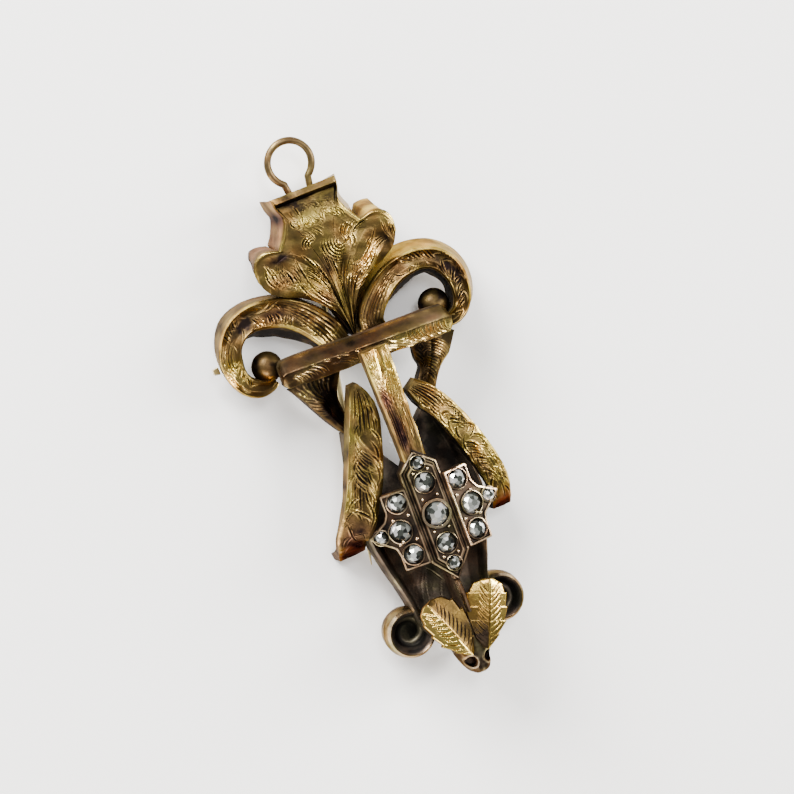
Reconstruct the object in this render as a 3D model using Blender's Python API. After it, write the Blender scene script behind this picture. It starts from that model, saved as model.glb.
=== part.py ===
"""A gold pendant brooch with a palmette crest, two C-scrolls and three plates of rose-cut diamonds.

It lies on its back: +X is the viewer's right, +Y runs from the tip to the bail, +Z comes out of the front.
The origin is the middle of the box around it, at the plane it rests on.
"""

import math

import bmesh
import bpy
import numpy as np

MM = 0.001

# Clearances
SOLDER_GAP = 0.08 * MM
STONE_GAP = 0.05 * MM

# Heights above the plane that the brooch rests on
BACK_LEVEL = 1.6 * MM
PIN_LEVEL = 0.85 * MM

# The bars and plates in front stand a little to the right of the crest's middle
FRONT_SHIFT = 0.3 * MM

# Tip boss and leaves
BOSS_LENGTH = 4.9 * MM
BOSS_WIDTH = 3.9 * MM
BOSS_DEPTH = 5.5 * MM
BOSS_HOLE = 0.6 * MM
LEAF_LENGTH = 5.5 * MM
LEAF_WIDTH = 3.0 * MM
LEAF_THICKNESS = 0.6 * MM
LEAF_LEAN = math.radians(22)

# Body
BODY_START = 2.5 * MM
BODY_LENGTH = 19.1 * MM
BODY_WIDTH = 10.0 * MM
BODY_DEPTH = 2.9 * MM
VOLUTE_DIAMETER = 3.9 * MM
VOLUTE_SPREAD = 8.2 * MM
KEEL_THICKNESS = 0.5 * MM

# Stone settings
SETTING_LENGTH = 10.9 * MM
SETTING_WIDTH = 2.2 * MM
SETTING_LEDGE = 0.5 * MM
SETTING_THICKNESS = 1.6 * MM
STEP_HEIGHT = 0.5 * MM
COLLET_WALL = 0.22 * MM
COLLET_HEIGHT = 0.25 * MM
WING_LENGTH = 6.3 * MM
WING_REACH = 4.1 * MM
WING_THICKNESS = 1.1 * MM
WING_LEAN = math.radians(17)
STONE_DIAMETER = 2.0 * MM
STONE_HEIGHT = 0.75 * MM
POCKET_DEPTH = 0.4 * MM

# Crossbar, its straps and the centre bar
STRAP_RISE = 6.1 * MM
STRAP_WIDTH = 2.6 * MM
BAR_LENGTH = 14.2 * MM
BAR_WIDTH = 2.5 * MM
BAR_DEPTH = 2.1 * MM
BAR_SLOPE = 0.55 * MM
CENTRE_BAR_WIDTH = 2.24 * MM
CENTRE_BAR_DEPTH = 1.7 * MM
CENTRE_BAR_TAPER = 0.18

# Loops
LOOP_LENGTH = 13.6 * MM
LOOP_SPREAD = 7.0 * MM
LOOP_WIDTH = 2.3 * MM
LOOP_DEPTH = 2.2 * MM

# Scrolls
SCROLL_REACH = 9.75 * MM
SCROLL_HEIGHT = 4.2 * MM
SCROLL_DEPTH = 3.4 * MM
BAND_WIDTH = 1.95 * MM
BAND_SPREAD = 1.0 * MM
BALL_DIAMETER = 2.5 * MM

# Crest and bail
CREST_WIDTH = 11.8 * MM
CREST_HEIGHT = 12.45 * MM
CREST_DEPTH = 4.1 * MM
CREST_FLARE_LEFT = 0.25 * MM
CREST_FLARE_RIGHT = 0.75 * MM
CREST_UNDERCUT = 0.55 * MM
BAIL_WIDTH = 4.1 * MM
BAIL_WIRE = 0.58 * MM
BAIL_LEG = 0.55 * MM
BAIL_OPENING = math.radians(70)

# Pin, catch and lug
PIN_WIRE = 0.48 * MM
PIN_LENGTH = 26.1 * MM
PIN_LEAN = math.radians(10.3)
HINGE_WIDTH = 3.6 * MM
HINGE_LENGTH = 2.4 * MM
CATCH_WIDTH = 0.9 * MM
CATCH_WALL = 0.35 * MM
LUG_SIZE = 0.6 * MM

# Where the pieces stand along Y, measured from the tip
BODY_TOP = BODY_START + BODY_LENGTH
BAR_Y = BODY_TOP + STRAP_RISE
V_POINT_Y = BAR_Y + BAR_WIDTH * 0.42
CREST_TOP = V_POINT_Y + CREST_HEIGHT
SETTING_Y = BODY_START + BODY_LENGTH * 0.3
VOLUTE_Y = BODY_START + VOLUTE_DIAMETER * 0.58

# Where the pieces stand along Z
SCROLL_FRONT = BACK_LEVEL + SCROLL_DEPTH
BAR_BACK = SCROLL_FRONT + SOLDER_GAP
BAR_FRONT = BAR_BACK + BAR_DEPTH
CENTRE_BACK = BAR_FRONT + SOLDER_GAP
CENTRE_FRONT = CENTRE_BACK + CENTRE_BAR_DEPTH
SETTING_BACK = CENTRE_FRONT - SETTING_THICKNESS
BODY_RIM = BACK_LEVEL + BODY_DEPTH
BODY_FLOOR = BACK_LEVEL + BODY_DEPTH * 0.5

# Materials. Columns: name, colour, roughness, metallic
MATERIALS = (
    ("yellow_gold", (0.72, 0.50, 0.16), 0.30, 1.0),
    ("brown_gold", (0.42, 0.27, 0.10), 0.38, 1.0),
    ("dark_gold", (0.07, 0.055, 0.045), 0.50, 1.0),
    ("copper_gold", (0.40, 0.25, 0.16), 0.35, 1.0),
    ("leaf_gold", (0.80, 0.60, 0.20), 0.25, 1.0),
    ("brass", (0.75, 0.62, 0.32), 0.35, 1.0),
    ("diamond", (0.80, 0.83, 0.84), 0.05, 0.0),
)

# Bands that bend in the plane. Section columns: across (share of half the width, + is the left hand
# of the path), level (share of the depth from back to front)
SCROLL_SECTION = (
    (1.00, 0.00),
    (1.00, 0.90),
    (0.88, 1.00),
    (0.35, 0.86),
    (-0.35, 0.84),
    (-0.86, 0.98),
    (-1.00, 0.90),
    (-1.00, 0.00),
)
LOOP_SECTION = (
    (1.06, 0.00),
    (1.00, 0.74),
    (0.84, 0.82),
    (0.00, 0.93),
    (-0.84, 1.00),
    (-1.00, 0.94),
    (-1.00, 0.00),
)
BAR_WIDTHS = (  # columns: place along the bar (share of half its length), width (share of the widest)
    (-1.00, 0.62),
    (-0.95, 0.94),
    (-0.50, 1.00),
    (0.00, 0.92),
    (0.50, 1.00),
    (0.95, 0.94),
    (1.00, 0.62),
)
BAR_SECTION = (
    (1.05, 0.00),
    (1.00, 0.33),
    (0.26, 1.00),
    (-0.85, 0.52),
    (-0.90, 0.00),
)
STRAP_SECTION = (
    (1.00, 0.00),
    (1.00, 0.82),
    (0.45, 1.00),
    (0.10, 0.76),
    (0.00, 0.56),
    (-1.00, 0.45),
    (-1.00, 0.00),
)
CENTRE_BAR_SECTION = (
    (1.00, 0.00),
    (1.00, 0.84),
    (0.80, 1.00),
    (0.36, 0.97),
    (0.00, 0.80),
    (-0.36, 0.97),
    (-0.80, 1.00),
    (-1.00, 0.84),
    (-1.00, 0.00),
)
BOSS_SECTION = (
    (0.70, 0.00),
    (0.86, 0.35),
    (0.66, 0.85),
    (0.34, 1.00),
    (-0.34, 1.00),
    (-0.66, 0.85),
    (-0.86, 0.35),
    (-0.70, 0.00),
)
KEEL_SECTION = (
    (1.00, 0.00),
    (1.00, 0.90),
    (0.40, 1.00),
    (-0.40, 1.00),
    (-1.00, 0.90),
    (-1.00, 0.00),
)

# Scroll's middle line, from the V-point outward. Columns: x (share of the reach), y (share of the height
# above the bar's middle line), drop of the front (share of the depth), half width (share of half the
# width), spread of the inner and of the outer wall toward the back (shares of the whole spread)
SCROLL_LEFT = (
    (0.146, 0.14, 0.20, 1.13, 0.10, 0.00),
    (0.191, 0.47, 0.14, 1.26, 0.30, 0.00),
    (0.264, 0.73, 0.10, 1.27, 0.60, 0.05),
    (0.355, 0.96, 0.06, 1.22, 0.90, 0.10),
    (0.473, 1.15, 0.03, 1.16, 1.00, 0.10),
    (0.619, 1.25, 0.00, 1.11, 1.00, 0.10),
    (0.763, 1.27, 0.00, 1.04, 0.80, 0.10),
    (0.893, 1.16, 0.00, 0.99, 0.60, 0.10),
    (0.985, 0.92, 0.02, 0.93, 0.40, -0.10),
    (1.024, 0.61, 0.04, 0.92, 0.30, -0.27),
    (1.011, 0.28, 0.06, 0.84, 0.20, -0.27),
    (0.954, 0.07, 0.08, 0.80, 0.10, -0.10),
    (0.865, -0.05, 0.12, 0.70, 0.00, 0.00),
    (0.786, -0.07, 0.18, 0.50, 0.00, 0.00),
    (0.725, -0.01, 0.24, 0.37, 0.00, 0.00),
)
SCROLL_RIGHT = (
    (0.180, 0.14, 0.20, 1.10, 0.00, 0.00),
    (0.165, 0.38, 0.14, 1.08, 0.10, 0.00),
    (0.220, 0.63, 0.10, 1.06, 0.40, 0.05),
    (0.319, 0.87, 0.06, 0.99, 0.80, 0.10),
    (0.445, 1.06, 0.03, 0.92, 1.00, 0.20),
    (0.580, 1.15, 0.00, 0.85, 1.00, 0.50),
    (0.710, 1.15, 0.00, 0.80, 0.80, 0.60),
    (0.840, 1.03, 0.00, 0.82, 0.50, 0.70),
    (0.920, 0.78, 0.02, 0.83, 0.30, 0.90),
    (0.951, 0.48, 0.04, 0.76, 0.00, 1.00),
    (0.935, 0.17, 0.06, 0.68, 0.00, 0.90),
    (0.884, -0.04, 0.08, 0.60, 0.00, 0.60),
    (0.807, -0.14, 0.12, 0.55, 0.00, 0.30),
    (0.739, -0.15, 0.18, 0.40, 0.00, 0.10),
    (0.688, -0.08, 0.24, 0.32, 0.00, 0.00),
)

LUG_ROW = 9  # the row of the left scroll beside which the side lug sits

# Ball that ends a scroll. Columns: x (share of the reach), y (share of the scroll's height)
BALL_LEFT = (0.745, 0.268)
BALL_RIGHT = (0.722, 0.215)

# Loop's middle line, from the centre bar to the foot. Columns: x (share of the spread), y (share of the
# length below the bar), drop of the front (share of the depth from back plane to front), height of the
# back (share of the same), half width (share of half the loop's width)
LOOP_LEFT = (
    (0.272, 0.167, 0.02, 0.70, 0.28),
    (0.263, 0.247, 0.01, 0.69, 0.70),
    (0.274, 0.339, 0.00, 0.68, 0.97),
    (0.347, 0.474, 0.02, 0.66, 1.11),
    (0.439, 0.609, 0.04, 0.66, 1.19),
    (0.527, 0.727, 0.07, 0.66, 1.22),
    (0.628, 0.835, 0.11, 0.66, 1.15),
    (0.738, 0.938, 0.17, 0.66, 1.18),
    (0.862, 1.022, 0.26, 0.66, 1.05),
    (0.875, 1.075, 0.36, 0.40, 1.00),
    (0.870, 1.110, 0.46, 0.00, 0.98),
    (0.862, 1.148, 0.62, 0.00, 0.96),
)
LOOP_RIGHT = (
    (0.337, 0.291, 0.02, 0.70, 0.51),
    (0.449, 0.376, 0.00, 0.68, 0.85),
    (0.583, 0.478, 0.03, 0.66, 0.88),
    (0.695, 0.595, 0.06, 0.66, 0.87),
    (0.775, 0.707, 0.09, 0.66, 0.91),
    (0.843, 0.818, 0.12, 0.66, 0.91),
    (0.902, 0.926, 0.17, 0.64, 0.87),
    (0.941, 1.035, 0.25, 0.56, 0.81),
    (0.957, 1.135, 0.38, 0.00, 0.78),
    (0.951, 1.205, 0.58, 0.00, 0.73),
)

# Strap from the bar to the body. Columns: x (share of half the bar), y (share of the rise above the body),
# front and back (shares of the height from the back plane to the bar's ridge), half width (share of half
# the strap's width)
STRAP_LEFT = (
    (0.656, 0.872, 0.84, 0.62, 1.86),
    (0.627, 0.546, 0.74, 0.33, 1.05),
    (0.542, 0.230, 0.58, 0.08, 0.62),
    (0.458, 0.052, 0.48, 0.00, 0.51),
)
STRAP_RIGHT = (
    (0.739, 0.902, 0.84, 0.62, 1.41),
    (0.672, 0.607, 0.76, 0.40, 1.02),
    (0.638, 0.442, 0.64, 0.15, 0.55),
    (0.556, 0.246, 0.54, 0.00, 0.49),
    (0.514, 0.089, 0.48, 0.00, 0.46),
)

# Body's outline. Columns: y (share of the length), left and right half widths (shares of half the width)
BODY_OUTLINE = (
    (0.00, 0.30, 0.32),
    (0.06, 0.52, 0.52),
    (0.14, 0.66, 0.64),
    (0.24, 0.70, 0.68),
    (0.31, 0.76, 0.78),
    (0.39, 0.84, 0.88),
    (0.50, 0.93, 1.03),
    (0.60, 0.97, 1.10),
    (0.73, 0.92, 1.06),
    (0.86, 0.82, 0.95),
    (1.00, 0.70, 0.82),
)
# Across the body. Columns: place (share of the half width), level (share of the depth)
BODY_SECTION = (
    (0.00, 0.52),
    (0.30, 0.50),
    (0.60, 0.54),
    (0.82, 0.68),
    (0.90, 0.94),
    (0.96, 1.00),
    (1.00, 0.90),
)
BODY_NOTCH = 0.23  # depth of the notch in the top edge, as a share of the length
VOLUTE_PROFILE = (  # columns: radius (share of the outer radius), level (share of the depth)
    (1.00, 0.00),
    (1.06, 0.45),
    (1.00, 0.85),
    (0.90, 0.95),
    (0.78, 0.86),
    (0.62, 0.52),
    (0.30, 0.36),
)

# Crest, right half, measured from the V-point. Columns: x (share of half the width), y (share of the
# height)
PETAL_TOP = (
    (0.000, 0.00),
    (0.030, 0.12),
    (0.060, 0.25),
    (0.090, 0.37),
    (0.175, 0.49),
    (0.360, 0.605),
    (0.595, 0.685),
)
PETAL_FOOT = (
    (0.020, 0.00),
    (0.055, 0.07),
    (0.140, 0.17),
    (0.290, 0.265),
    (0.500, 0.345),
    (0.730, 0.395),
    (0.905, 0.455),
    (1.000, 0.545),
)
CREST_FLANK = ((0.465, 1.0), (0.440, 0.93), (0.395, 0.86), (0.470, 0.77), (0.595, 0.685))
PETAL_END = ((0.595, 0.685), (0.790, 0.705), (0.935, 0.680), (1.000, 0.620), (1.000, 0.545))
# Along the crest's middle. Columns: y (share of the height), level (share of the depth)
CREST_SPINE = (
    (0.00, 0.72),
    (0.20, 0.84),
    (0.45, 0.95),
    (0.75, 1.00),
    (0.90, 0.95),
    (0.935, 0.90),
    (0.965, 1.02),
    (1.00, 0.93),
)
# Across a petal, from its upper edge to its lower. Columns: place, rise (share of the crest's depth)
PETAL_SECTION = ((0.0, -0.04), (0.14, 0.08), (0.30, 0.09), (0.60, -0.01), (0.85, 0.03), (1.0, -0.08))

# Leaf outline on one side of its midrib. Columns: place along it, half width (share of half the width)
LEAF_OUTLINE = ((0.0, 0.12), (0.18, 0.60), (0.40, 0.98), (0.62, 1.0), (0.82, 0.92), (0.93, 0.70), (1.0, 0.25))
LEAF_TEETH = 5

# Stones of the centre plate. Columns: y (share of the plate's length), diameter (share of the largest stone)
CENTRE_STONES = ((0.910, 0.60), (0.760, 0.85), (0.520, 1.00), (0.290, 0.85), (0.135, 0.60))
COLLET_STONE = 2  # the row above whose stone stands in a raised ring
# Stones of a wing. Columns: x (share of the reach), y (share of the length from its middle), diameter
WING_STONES = ((0.24, 0.355, 0.82), (0.36, 0.00, 0.92), (0.755, 0.005, 0.60), (0.275, -0.325, 0.82))
# A wing's outline. Columns: x (share of the reach), y (share of the length from its middle)
WING_OUTLINE = (
    (0.00, 0.500),
    (0.52, 0.500),
    (0.52, 0.265),
    (0.60, 0.175),
    (1.00, 0.020),
    (0.56, -0.200),
    (0.53, -0.300),
    (0.53, -0.500),
    (0.00, -0.500),
)
# A stone from its flat base up. Columns: radius and height as shares, turn in half facets
STONE_RINGS = ((0.94, 0.00, 0), (1.00, 0.22, 0), (0.62, 0.78, 1), (0.30, 1.00, 1))
STONE_SIDES = 8


def clear_scene():
    for old in list(bpy.data.objects):
        bpy.data.objects.remove(old)


def make_materials():
    made = {}
    for name, colour, roughness, metallic in MATERIALS:
        material = bpy.data.materials.new(name)
        material.use_nodes = True
        shader = material.node_tree.nodes["Principled BSDF"]
        shader.inputs["Base Color"].default_value = (*colour, 1.0)
        shader.inputs["Roughness"].default_value = roughness
        shader.inputs["Metallic"].default_value = metallic
        made[name] = material
    return made


def mesh_object(name, points, faces, material, sharp=30):
    """A closed mesh as an object, with its normals out and its round stretches shaded smooth."""
    mesh = bpy.data.meshes.new(name)
    mesh.from_pydata([tuple(p) for p in points], [], faces)
    work = bmesh.new()
    work.from_mesh(mesh)
    bmesh.ops.remove_doubles(work, verts=work.verts, dist=1e-7)
    bmesh.ops.recalc_face_normals(work, faces=work.faces)
    work.to_mesh(mesh)
    work.free()
    mesh.shade_smooth()
    mesh.set_sharp_from_angle(angle=math.radians(sharp))
    made = bpy.data.objects.new(name, mesh)
    bpy.context.scene.collection.objects.link(made)
    if material is not None:
        mesh.materials.append(material)
    return made


def as_helper(helper):
    helper.hide_render = True
    helper.display_type = "WIRE"
    return helper


def boolean(target, other, operation):
    step = target.modifiers.new(operation.lower(), "BOOLEAN")
    step.operation = operation
    step.object = as_helper(other)


def curve_through(rows, at):
    """A smooth curve through rows, read at shares of its length along the first two columns."""
    points = np.array(rows, float)
    steps = np.linalg.norm(np.diff(points[:, :2], axis=0), axis=1)
    knots = np.concatenate([[0.0], np.cumsum(steps)]) / steps.sum()
    slopes = np.empty_like(points)
    slopes[1:-1] = (points[2:] - points[:-2]) / (knots[2:] - knots[:-2])[:, None]
    slopes[0] = (points[1] - points[0]) / (knots[1] - knots[0])
    slopes[-1] = (points[-1] - points[-2]) / (knots[-1] - knots[-2])
    at = np.asarray(at, float)
    i = np.clip(np.searchsorted(knots, at, side="right") - 1, 0, len(knots) - 2)
    span = (knots[i + 1] - knots[i])[:, None]
    u = ((at - knots[i]) / span[:, 0])[:, None]
    return (
        points[i] * (2 * u**3 - 3 * u**2 + 1)
        + points[i + 1] * (3 * u**2 - 2 * u**3)
        + slopes[i] * span * (u**3 - 2 * u**2 + u)
        + slopes[i + 1] * span * (u**3 - u**2)
    )


def lofted(name, rings, material, sharp=30):
    """A solid through rings of points, each with the same count, closed at both ends."""
    count = len(rings[0])
    points = [p for ring in rings for p in ring]
    faces = []
    for r in range(len(rings) - 1):
        for k in range(count):
            after = (k + 1) % count
            a, b = r * count, (r + 1) * count
            faces.append((a + k, a + after, b + after, b + k))
    faces.append(tuple(range(count)))
    faces.append(tuple(range((len(rings) - 1) * count, len(rings) * count)))
    return mesh_object(name, points, faces, material, sharp)


def swept(name, rows, section, material, stations=0, sharp=30):
    """A band along rows of x, y, front, back and half width, and where it has them, its walls' spreads.

    The spreads are those toward the back on its right and left hand. Without stations it keeps to the rows.
    """
    path = curve_through(rows, np.linspace(0, 1, stations)) if stations else np.array(rows, float)
    path[:, 3] = np.maximum(path[:, 3], 0.0)
    if path.shape[1] == 5:
        path = np.hstack([path, np.zeros((len(path), 2))])
    along = np.gradient(path[:, :2], axis=0)
    along /= np.linalg.norm(along, axis=1)[:, None]
    rings = []
    for (x, y, front, back, half, *spreads), (dx, dy) in zip(path, along):
        ring = []
        for across, level in section:
            reach = across * (half + spreads[across > 0] * (1 - level))
            ring.append((x - dy * reach, y + dx * reach, back + level * (front - back)))
        rings.append(ring)
    return lofted(name, rings, material, sharp)


def relief_solid(name, grid, back, flare, material, sharp=30):
    """A solid under a grid of points. Its walls flare out by flare(x, y) to a flat back."""
    rows, columns = grid.shape[:2]
    edge = [(0, c) for c in range(columns)]
    edge += [(r, columns - 1) for r in range(1, rows)]
    edge += [(rows - 1, c) for c in range(columns - 2, -1, -1)]
    edge += [(r, 0) for r in range(rows - 2, 0, -1)]
    rim = np.array([grid[r, c] for r, c in edge])
    along = np.roll(rim[:, :2], -1, axis=0) - np.roll(rim[:, :2], 1, axis=0)
    outward = np.stack([along[:, 1], -along[:, 0]], axis=1)
    outward /= np.linalg.norm(outward, axis=1)[:, None] + 1e-12
    turn = np.roll(rim[:, :2], -1, axis=0)
    if np.sum(rim[:, 0] * turn[:, 1] - rim[:, 1] * turn[:, 0]) < 0:
        outward = -outward
    points = [tuple(p) for p in grid.reshape(-1, 3)]
    first = len(points)
    for (x, y, _), (ox, oy) in zip(rim, outward):
        reach = flare(x, y)
        points.append((x + ox * reach, y + oy * reach, back))
    faces = []
    for r in range(rows - 1):
        for c in range(columns - 1):
            a = r * columns + c
            faces.append((a, a + 1, a + columns + 1, a + columns))
    for k, (r, c) in enumerate(edge):
        after = (k + 1) % len(edge)
        r2, c2 = edge[after]
        faces.append((r * columns + c, r2 * columns + c2, first + after, first + k))
    faces.append(tuple(range(first, first + len(edge))))
    return mesh_object(name, points, faces, material, sharp)


def turned(name, profile, sides, centre, material=None):
    """A round solid about Z from a profile of radius and height, closed on the axis at both ends."""
    cx, cy = centre
    points, faces = [], []
    for radius, height in profile:
        for k in range(sides):
            angle = 2 * math.pi * k / sides
            points.append((cx + radius * math.cos(angle), cy + radius * math.sin(angle), height))
    for r in range(len(profile) - 1):
        for k in range(sides):
            after = (k + 1) % sides
            a, b = r * sides, (r + 1) * sides
            faces.append((a + k, a + after, b + after, b + k))
    faces.append(tuple(range(sides)))
    faces.append(tuple(range((len(profile) - 1) * sides, len(profile) * sides)))
    return mesh_object(name, points, faces, material)


def ball(name, centre, diameter):
    mesh = bpy.data.meshes.new(name)
    work = bmesh.new()
    bmesh.ops.create_uvsphere(work, u_segments=16, v_segments=10, radius=diameter / 2)
    bmesh.ops.translate(work, verts=work.verts, vec=centre)
    work.to_mesh(mesh)
    work.free()
    made = bpy.data.objects.new(name, mesh)
    bpy.context.scene.collection.objects.link(made)
    return made


def make_bail(materials):
    """The wire loop and its two short legs, which end at the crest's top wall."""
    radius = (BAIL_WIDTH - BAIL_WIRE) / 2
    level = BACK_LEVEL + CREST_DEPTH * 0.58
    foot = CREST_TOP + SOLDER_GAP
    open_angle = BAIL_OPENING / 2
    middle = foot + BAIL_LEG + radius * math.cos(open_angle)
    steps = 26
    points = [(radius * 0.50, foot)]
    for k in range(steps + 1):
        angle = -math.pi / 2 + open_angle + (2 * math.pi - 2 * open_angle) * k / steps
        points.append((radius * math.cos(angle), middle + radius * math.sin(angle)))
    points.append((-radius * 0.50, foot))
    line = bpy.data.curves.new("bail_ring", "CURVE")
    line.dimensions = "3D"
    line.bevel_depth = BAIL_WIRE / 2
    line.bevel_resolution = 2
    line.use_fill_caps = True
    spline = line.splines.new("POLY")
    spline.points.add(len(points) - 1)
    for point, (x, y) in zip(spline.points, points):
        point.co = (x, y, level, 1)
    line.materials.append(materials["brown_gold"])
    made = bpy.data.objects.new("bail_ring", line)
    bpy.context.scene.collection.objects.link(made)


def patch(first, last, end, places, steps):
    """Points between two flow lines that leave one corner and stop on an end line."""
    start_line = curve_through(first, steps)
    stop_line = curve_through(last, steps)
    foot, far = start_line[0], stop_line[0]
    made = []
    for place, edge in zip(places, end):
        line = start_line * (1 - place) + stop_line * place
        shift = edge - line[-1]
        start_shift = foot * (1 - place) + far * place - line[0]
        line = line + steps[:, None] ** 3 * shift + (1 - steps)[:, None] * start_shift
        made.append(line)
    return np.array(made)


def crest_grid(field_columns, petal_columns, rows):
    """The crest's face between the petals' lower edges, in flow lines from the V-point."""
    half, height = CREST_WIDTH / 2, CREST_HEIGHT
    steps = np.linspace(0.0, 1.0, rows)
    middle = ((0.0, 0.0), (0.0, 0.5), (0.0, 1.0))
    rib_columns = field_columns // 3
    rib = [np.array([0.465 * k / rib_columns, 1.0]) for k in range(rib_columns)]
    flank = curve_through(CREST_FLANK, np.linspace(0, 1, field_columns - rib_columns + 1))
    field_places = np.linspace(0, 1, field_columns + 1)
    field = patch(middle, PETAL_TOP, [*rib, *flank], field_places, steps)
    petal_places = np.linspace(0, 1, petal_columns + 1)
    petal_end = curve_through(PETAL_END, petal_places)
    petal = patch(PETAL_TOP, PETAL_FOOT, petal_end, petal_places, steps)[1:]
    heights, rises = np.array(CREST_SPINE).T, np.array(PETAL_SECTION).T
    grid = []
    for place, line in [*zip(field_places, field), *zip(petal_places[1:] + 1, petal)]:
        level = np.interp(line[:, 1], *heights) if place < 0.4 else np.interp(line[:, 1] * 0.8, *heights)
        swell = np.sin(np.pi * np.clip(steps * 1.15, 0, 1)) ** 0.5
        if place > 1:
            level = level + np.interp(place - 1, *rises) * swell
        else:
            level = level - 0.04 * place**2 * swell
        level = level - 0.05 * (np.abs(line[:, 0]) ** 2)
        grid.append(np.stack([line[:, 0] * half, line[:, 1] * height, level * CREST_DEPTH], axis=1))
    right = np.array(grid)
    left = right[:0:-1] * np.array([-1.0, 1.0, 1.0])
    return np.concatenate([left, right]) + np.array([0.0, V_POINT_Y, BACK_LEVEL])


def crest_flare(x, y):
    """The flanks spread toward the back, and the top and the petals' edges are undercut."""
    share, off = (y - V_POINT_Y) / CREST_HEIGHT, abs(x) / (CREST_WIDTH / 2)
    if share > 0.995:
        return -CREST_UNDERCUT
    flank = min(1.0, max(0.0, (share - 0.60) / 0.08)) * min(1.0, max(0.0, (1.0 - off) / 0.14))
    hollow = max(0.0, 1.0 - abs(share - 0.86) / 0.13)
    under = min(1.0, max(0.0, (share - 0.10) / 0.25))
    spread = CREST_FLARE_LEFT if x < 0 else CREST_FLARE_RIGHT
    notch_x, notch_y = CREST_FLANK[-1]
    notch = math.hypot((off - notch_x) * CREST_WIDTH / 2, (share - notch_y) * CREST_HEIGHT)
    spread = min(spread * (1 + 0.3 * hollow), notch)
    return flank * spread - (1 - flank) * under * CREST_UNDERCUT


def make_crest(materials):
    relief_solid("crest", crest_grid(9, 8, 16), BACK_LEVEL, crest_flare, materials["yellow_gold"])


def make_scroll(side, rows, ball_place, materials):
    """A C-scroll's band, with the ball that fills its eye. side is -1 on the left and 1 on the right."""
    name = "scroll_left" if side < 0 else "scroll_right"
    path = []
    for x, y, drop, half, inner, outer in rows:
        path.append(
            (
                side * x * SCROLL_REACH,
                BAR_Y + y * SCROLL_HEIGHT,
                SCROLL_FRONT - drop * SCROLL_DEPTH,
                BACK_LEVEL,
                half * BAND_WIDTH / 2,
                (inner if side > 0 else outer) * BAND_SPREAD,
                (outer if side > 0 else inner) * BAND_SPREAD,
            )
        )
    section = [(-side * across, level) for across, level in SCROLL_SECTION]
    scroll = swept(name, path, section, materials["yellow_gold"], 34)
    x, y = ball_place
    centre = (side * x * SCROLL_REACH, BAR_Y + y * SCROLL_HEIGHT, BACK_LEVEL + BALL_DIAMETER * 0.62)
    boolean(scroll, ball(name + "_ball", centre, BALL_DIAMETER), "UNION")


def make_crossbar(materials):
    """The ridged bar and its two straps, joined into one solid."""
    half, slope = BAR_LENGTH / 2, BAR_SLOPE / BAR_LENGTH
    path = []
    for x, width in BAR_WIDTHS:
        y = BAR_Y - slope * x * half
        path.append((FRONT_SHIFT * 0.6 + x * half, y, BAR_FRONT, BAR_BACK, width * BAR_WIDTH / 2))
    bar = swept("crossbar", path, BAR_SECTION, materials["brown_gold"], 0, 25)
    reach = BAR_FRONT - BACK_LEVEL
    for side, strap in ((-1, STRAP_LEFT), (1, STRAP_RIGHT)):
        rows = []
        for x, y, front, back, width in strap:
            rows.append(
                (
                    FRONT_SHIFT + side * x * half,
                    BODY_TOP + y * STRAP_RISE - slope * side * x * half,
                    BACK_LEVEL + front * reach,
                    BACK_LEVEL + back * reach,
                    width * STRAP_WIDTH / 2,
                )
            )
        section = [(side * across, level) for across, level in STRAP_SECTION]
        boolean(bar, swept(f"strap_{side}", rows, section, None, 10), "UNION")


def make_centre_bar(materials):
    """The upright bar from the crossbar's ridge down to the centre plate, forked round the plate's point."""
    top = BAR_Y + BAR_WIDTH * 0.02
    foot = SETTING_Y + SETTING_LENGTH - SETTING_WIDTH * 0.3
    rows = []
    for share in np.linspace(0.0, 1.0, 5):
        half = CENTRE_BAR_WIDTH / 2 * (1 - CENTRE_BAR_TAPER * share)
        rows.append((FRONT_SHIFT, top + (foot - top) * share, CENTRE_FRONT, CENTRE_BACK, half))
    bar = swept("centre_bar", rows, CENTRE_BAR_SECTION, materials["yellow_gold"], 0, 25)
    gap = SOLDER_GAP * 1.3
    outline = plate_outline(SETTING_WIDTH / 2 + SETTING_LEDGE + gap, -gap * 1.4)
    rings = [[(x, y, level) for x, y in outline] for level in (CENTRE_BACK - gap, CENTRE_FRONT + gap)]
    boolean(bar, lofted("plate_clearance", rings, None), "DIFFERENCE")


def make_loop(side, rows, materials):
    """A strap that swings out from under the centre bar and curls back to its foot."""
    name = "loop_left" if side < 0 else "loop_right"
    front_most = CENTRE_BACK - SOLDER_GAP
    path = []
    for x, y, drop, back, half in rows:
        path.append(
            (
                side * x * LOOP_SPREAD,
                BAR_Y - y * LOOP_LENGTH,
                front_most * (1 - drop),
                front_most * back,
                half * LOOP_WIDTH / 2,
            )
        )
    section = [(side * across, level) for across, level in LOOP_SECTION]
    swept(name, path, section, materials["yellow_gold"], 22)


def body_half_width(y, side):
    share, left, right = np.array(BODY_OUTLINE).T
    return np.interp((y - BODY_START) / BODY_LENGTH, share, left if side < 0 else right) * BODY_WIDTH / 2


def body_grid(rows):
    """The dished face of the body between its two rims, with a notch in its top edge."""
    places = [-p for p, _ in BODY_SECTION[:0:-1]] + [p for p, _ in BODY_SECTION]
    levels = [level for _, level in BODY_SECTION[:0:-1]] + [level for _, level in BODY_SECTION]
    grid = []
    for place, level in zip(places, levels):
        top = BODY_TOP - BODY_LENGTH * BODY_NOTCH * (1 - abs(place)) ** 1.6
        line = []
        for y in np.linspace(BODY_START, top, rows):
            line.append((place * body_half_width(y, place), y, BACK_LEVEL + level * BODY_DEPTH))
        grid.append(line)
    return np.array(grid)


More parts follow.
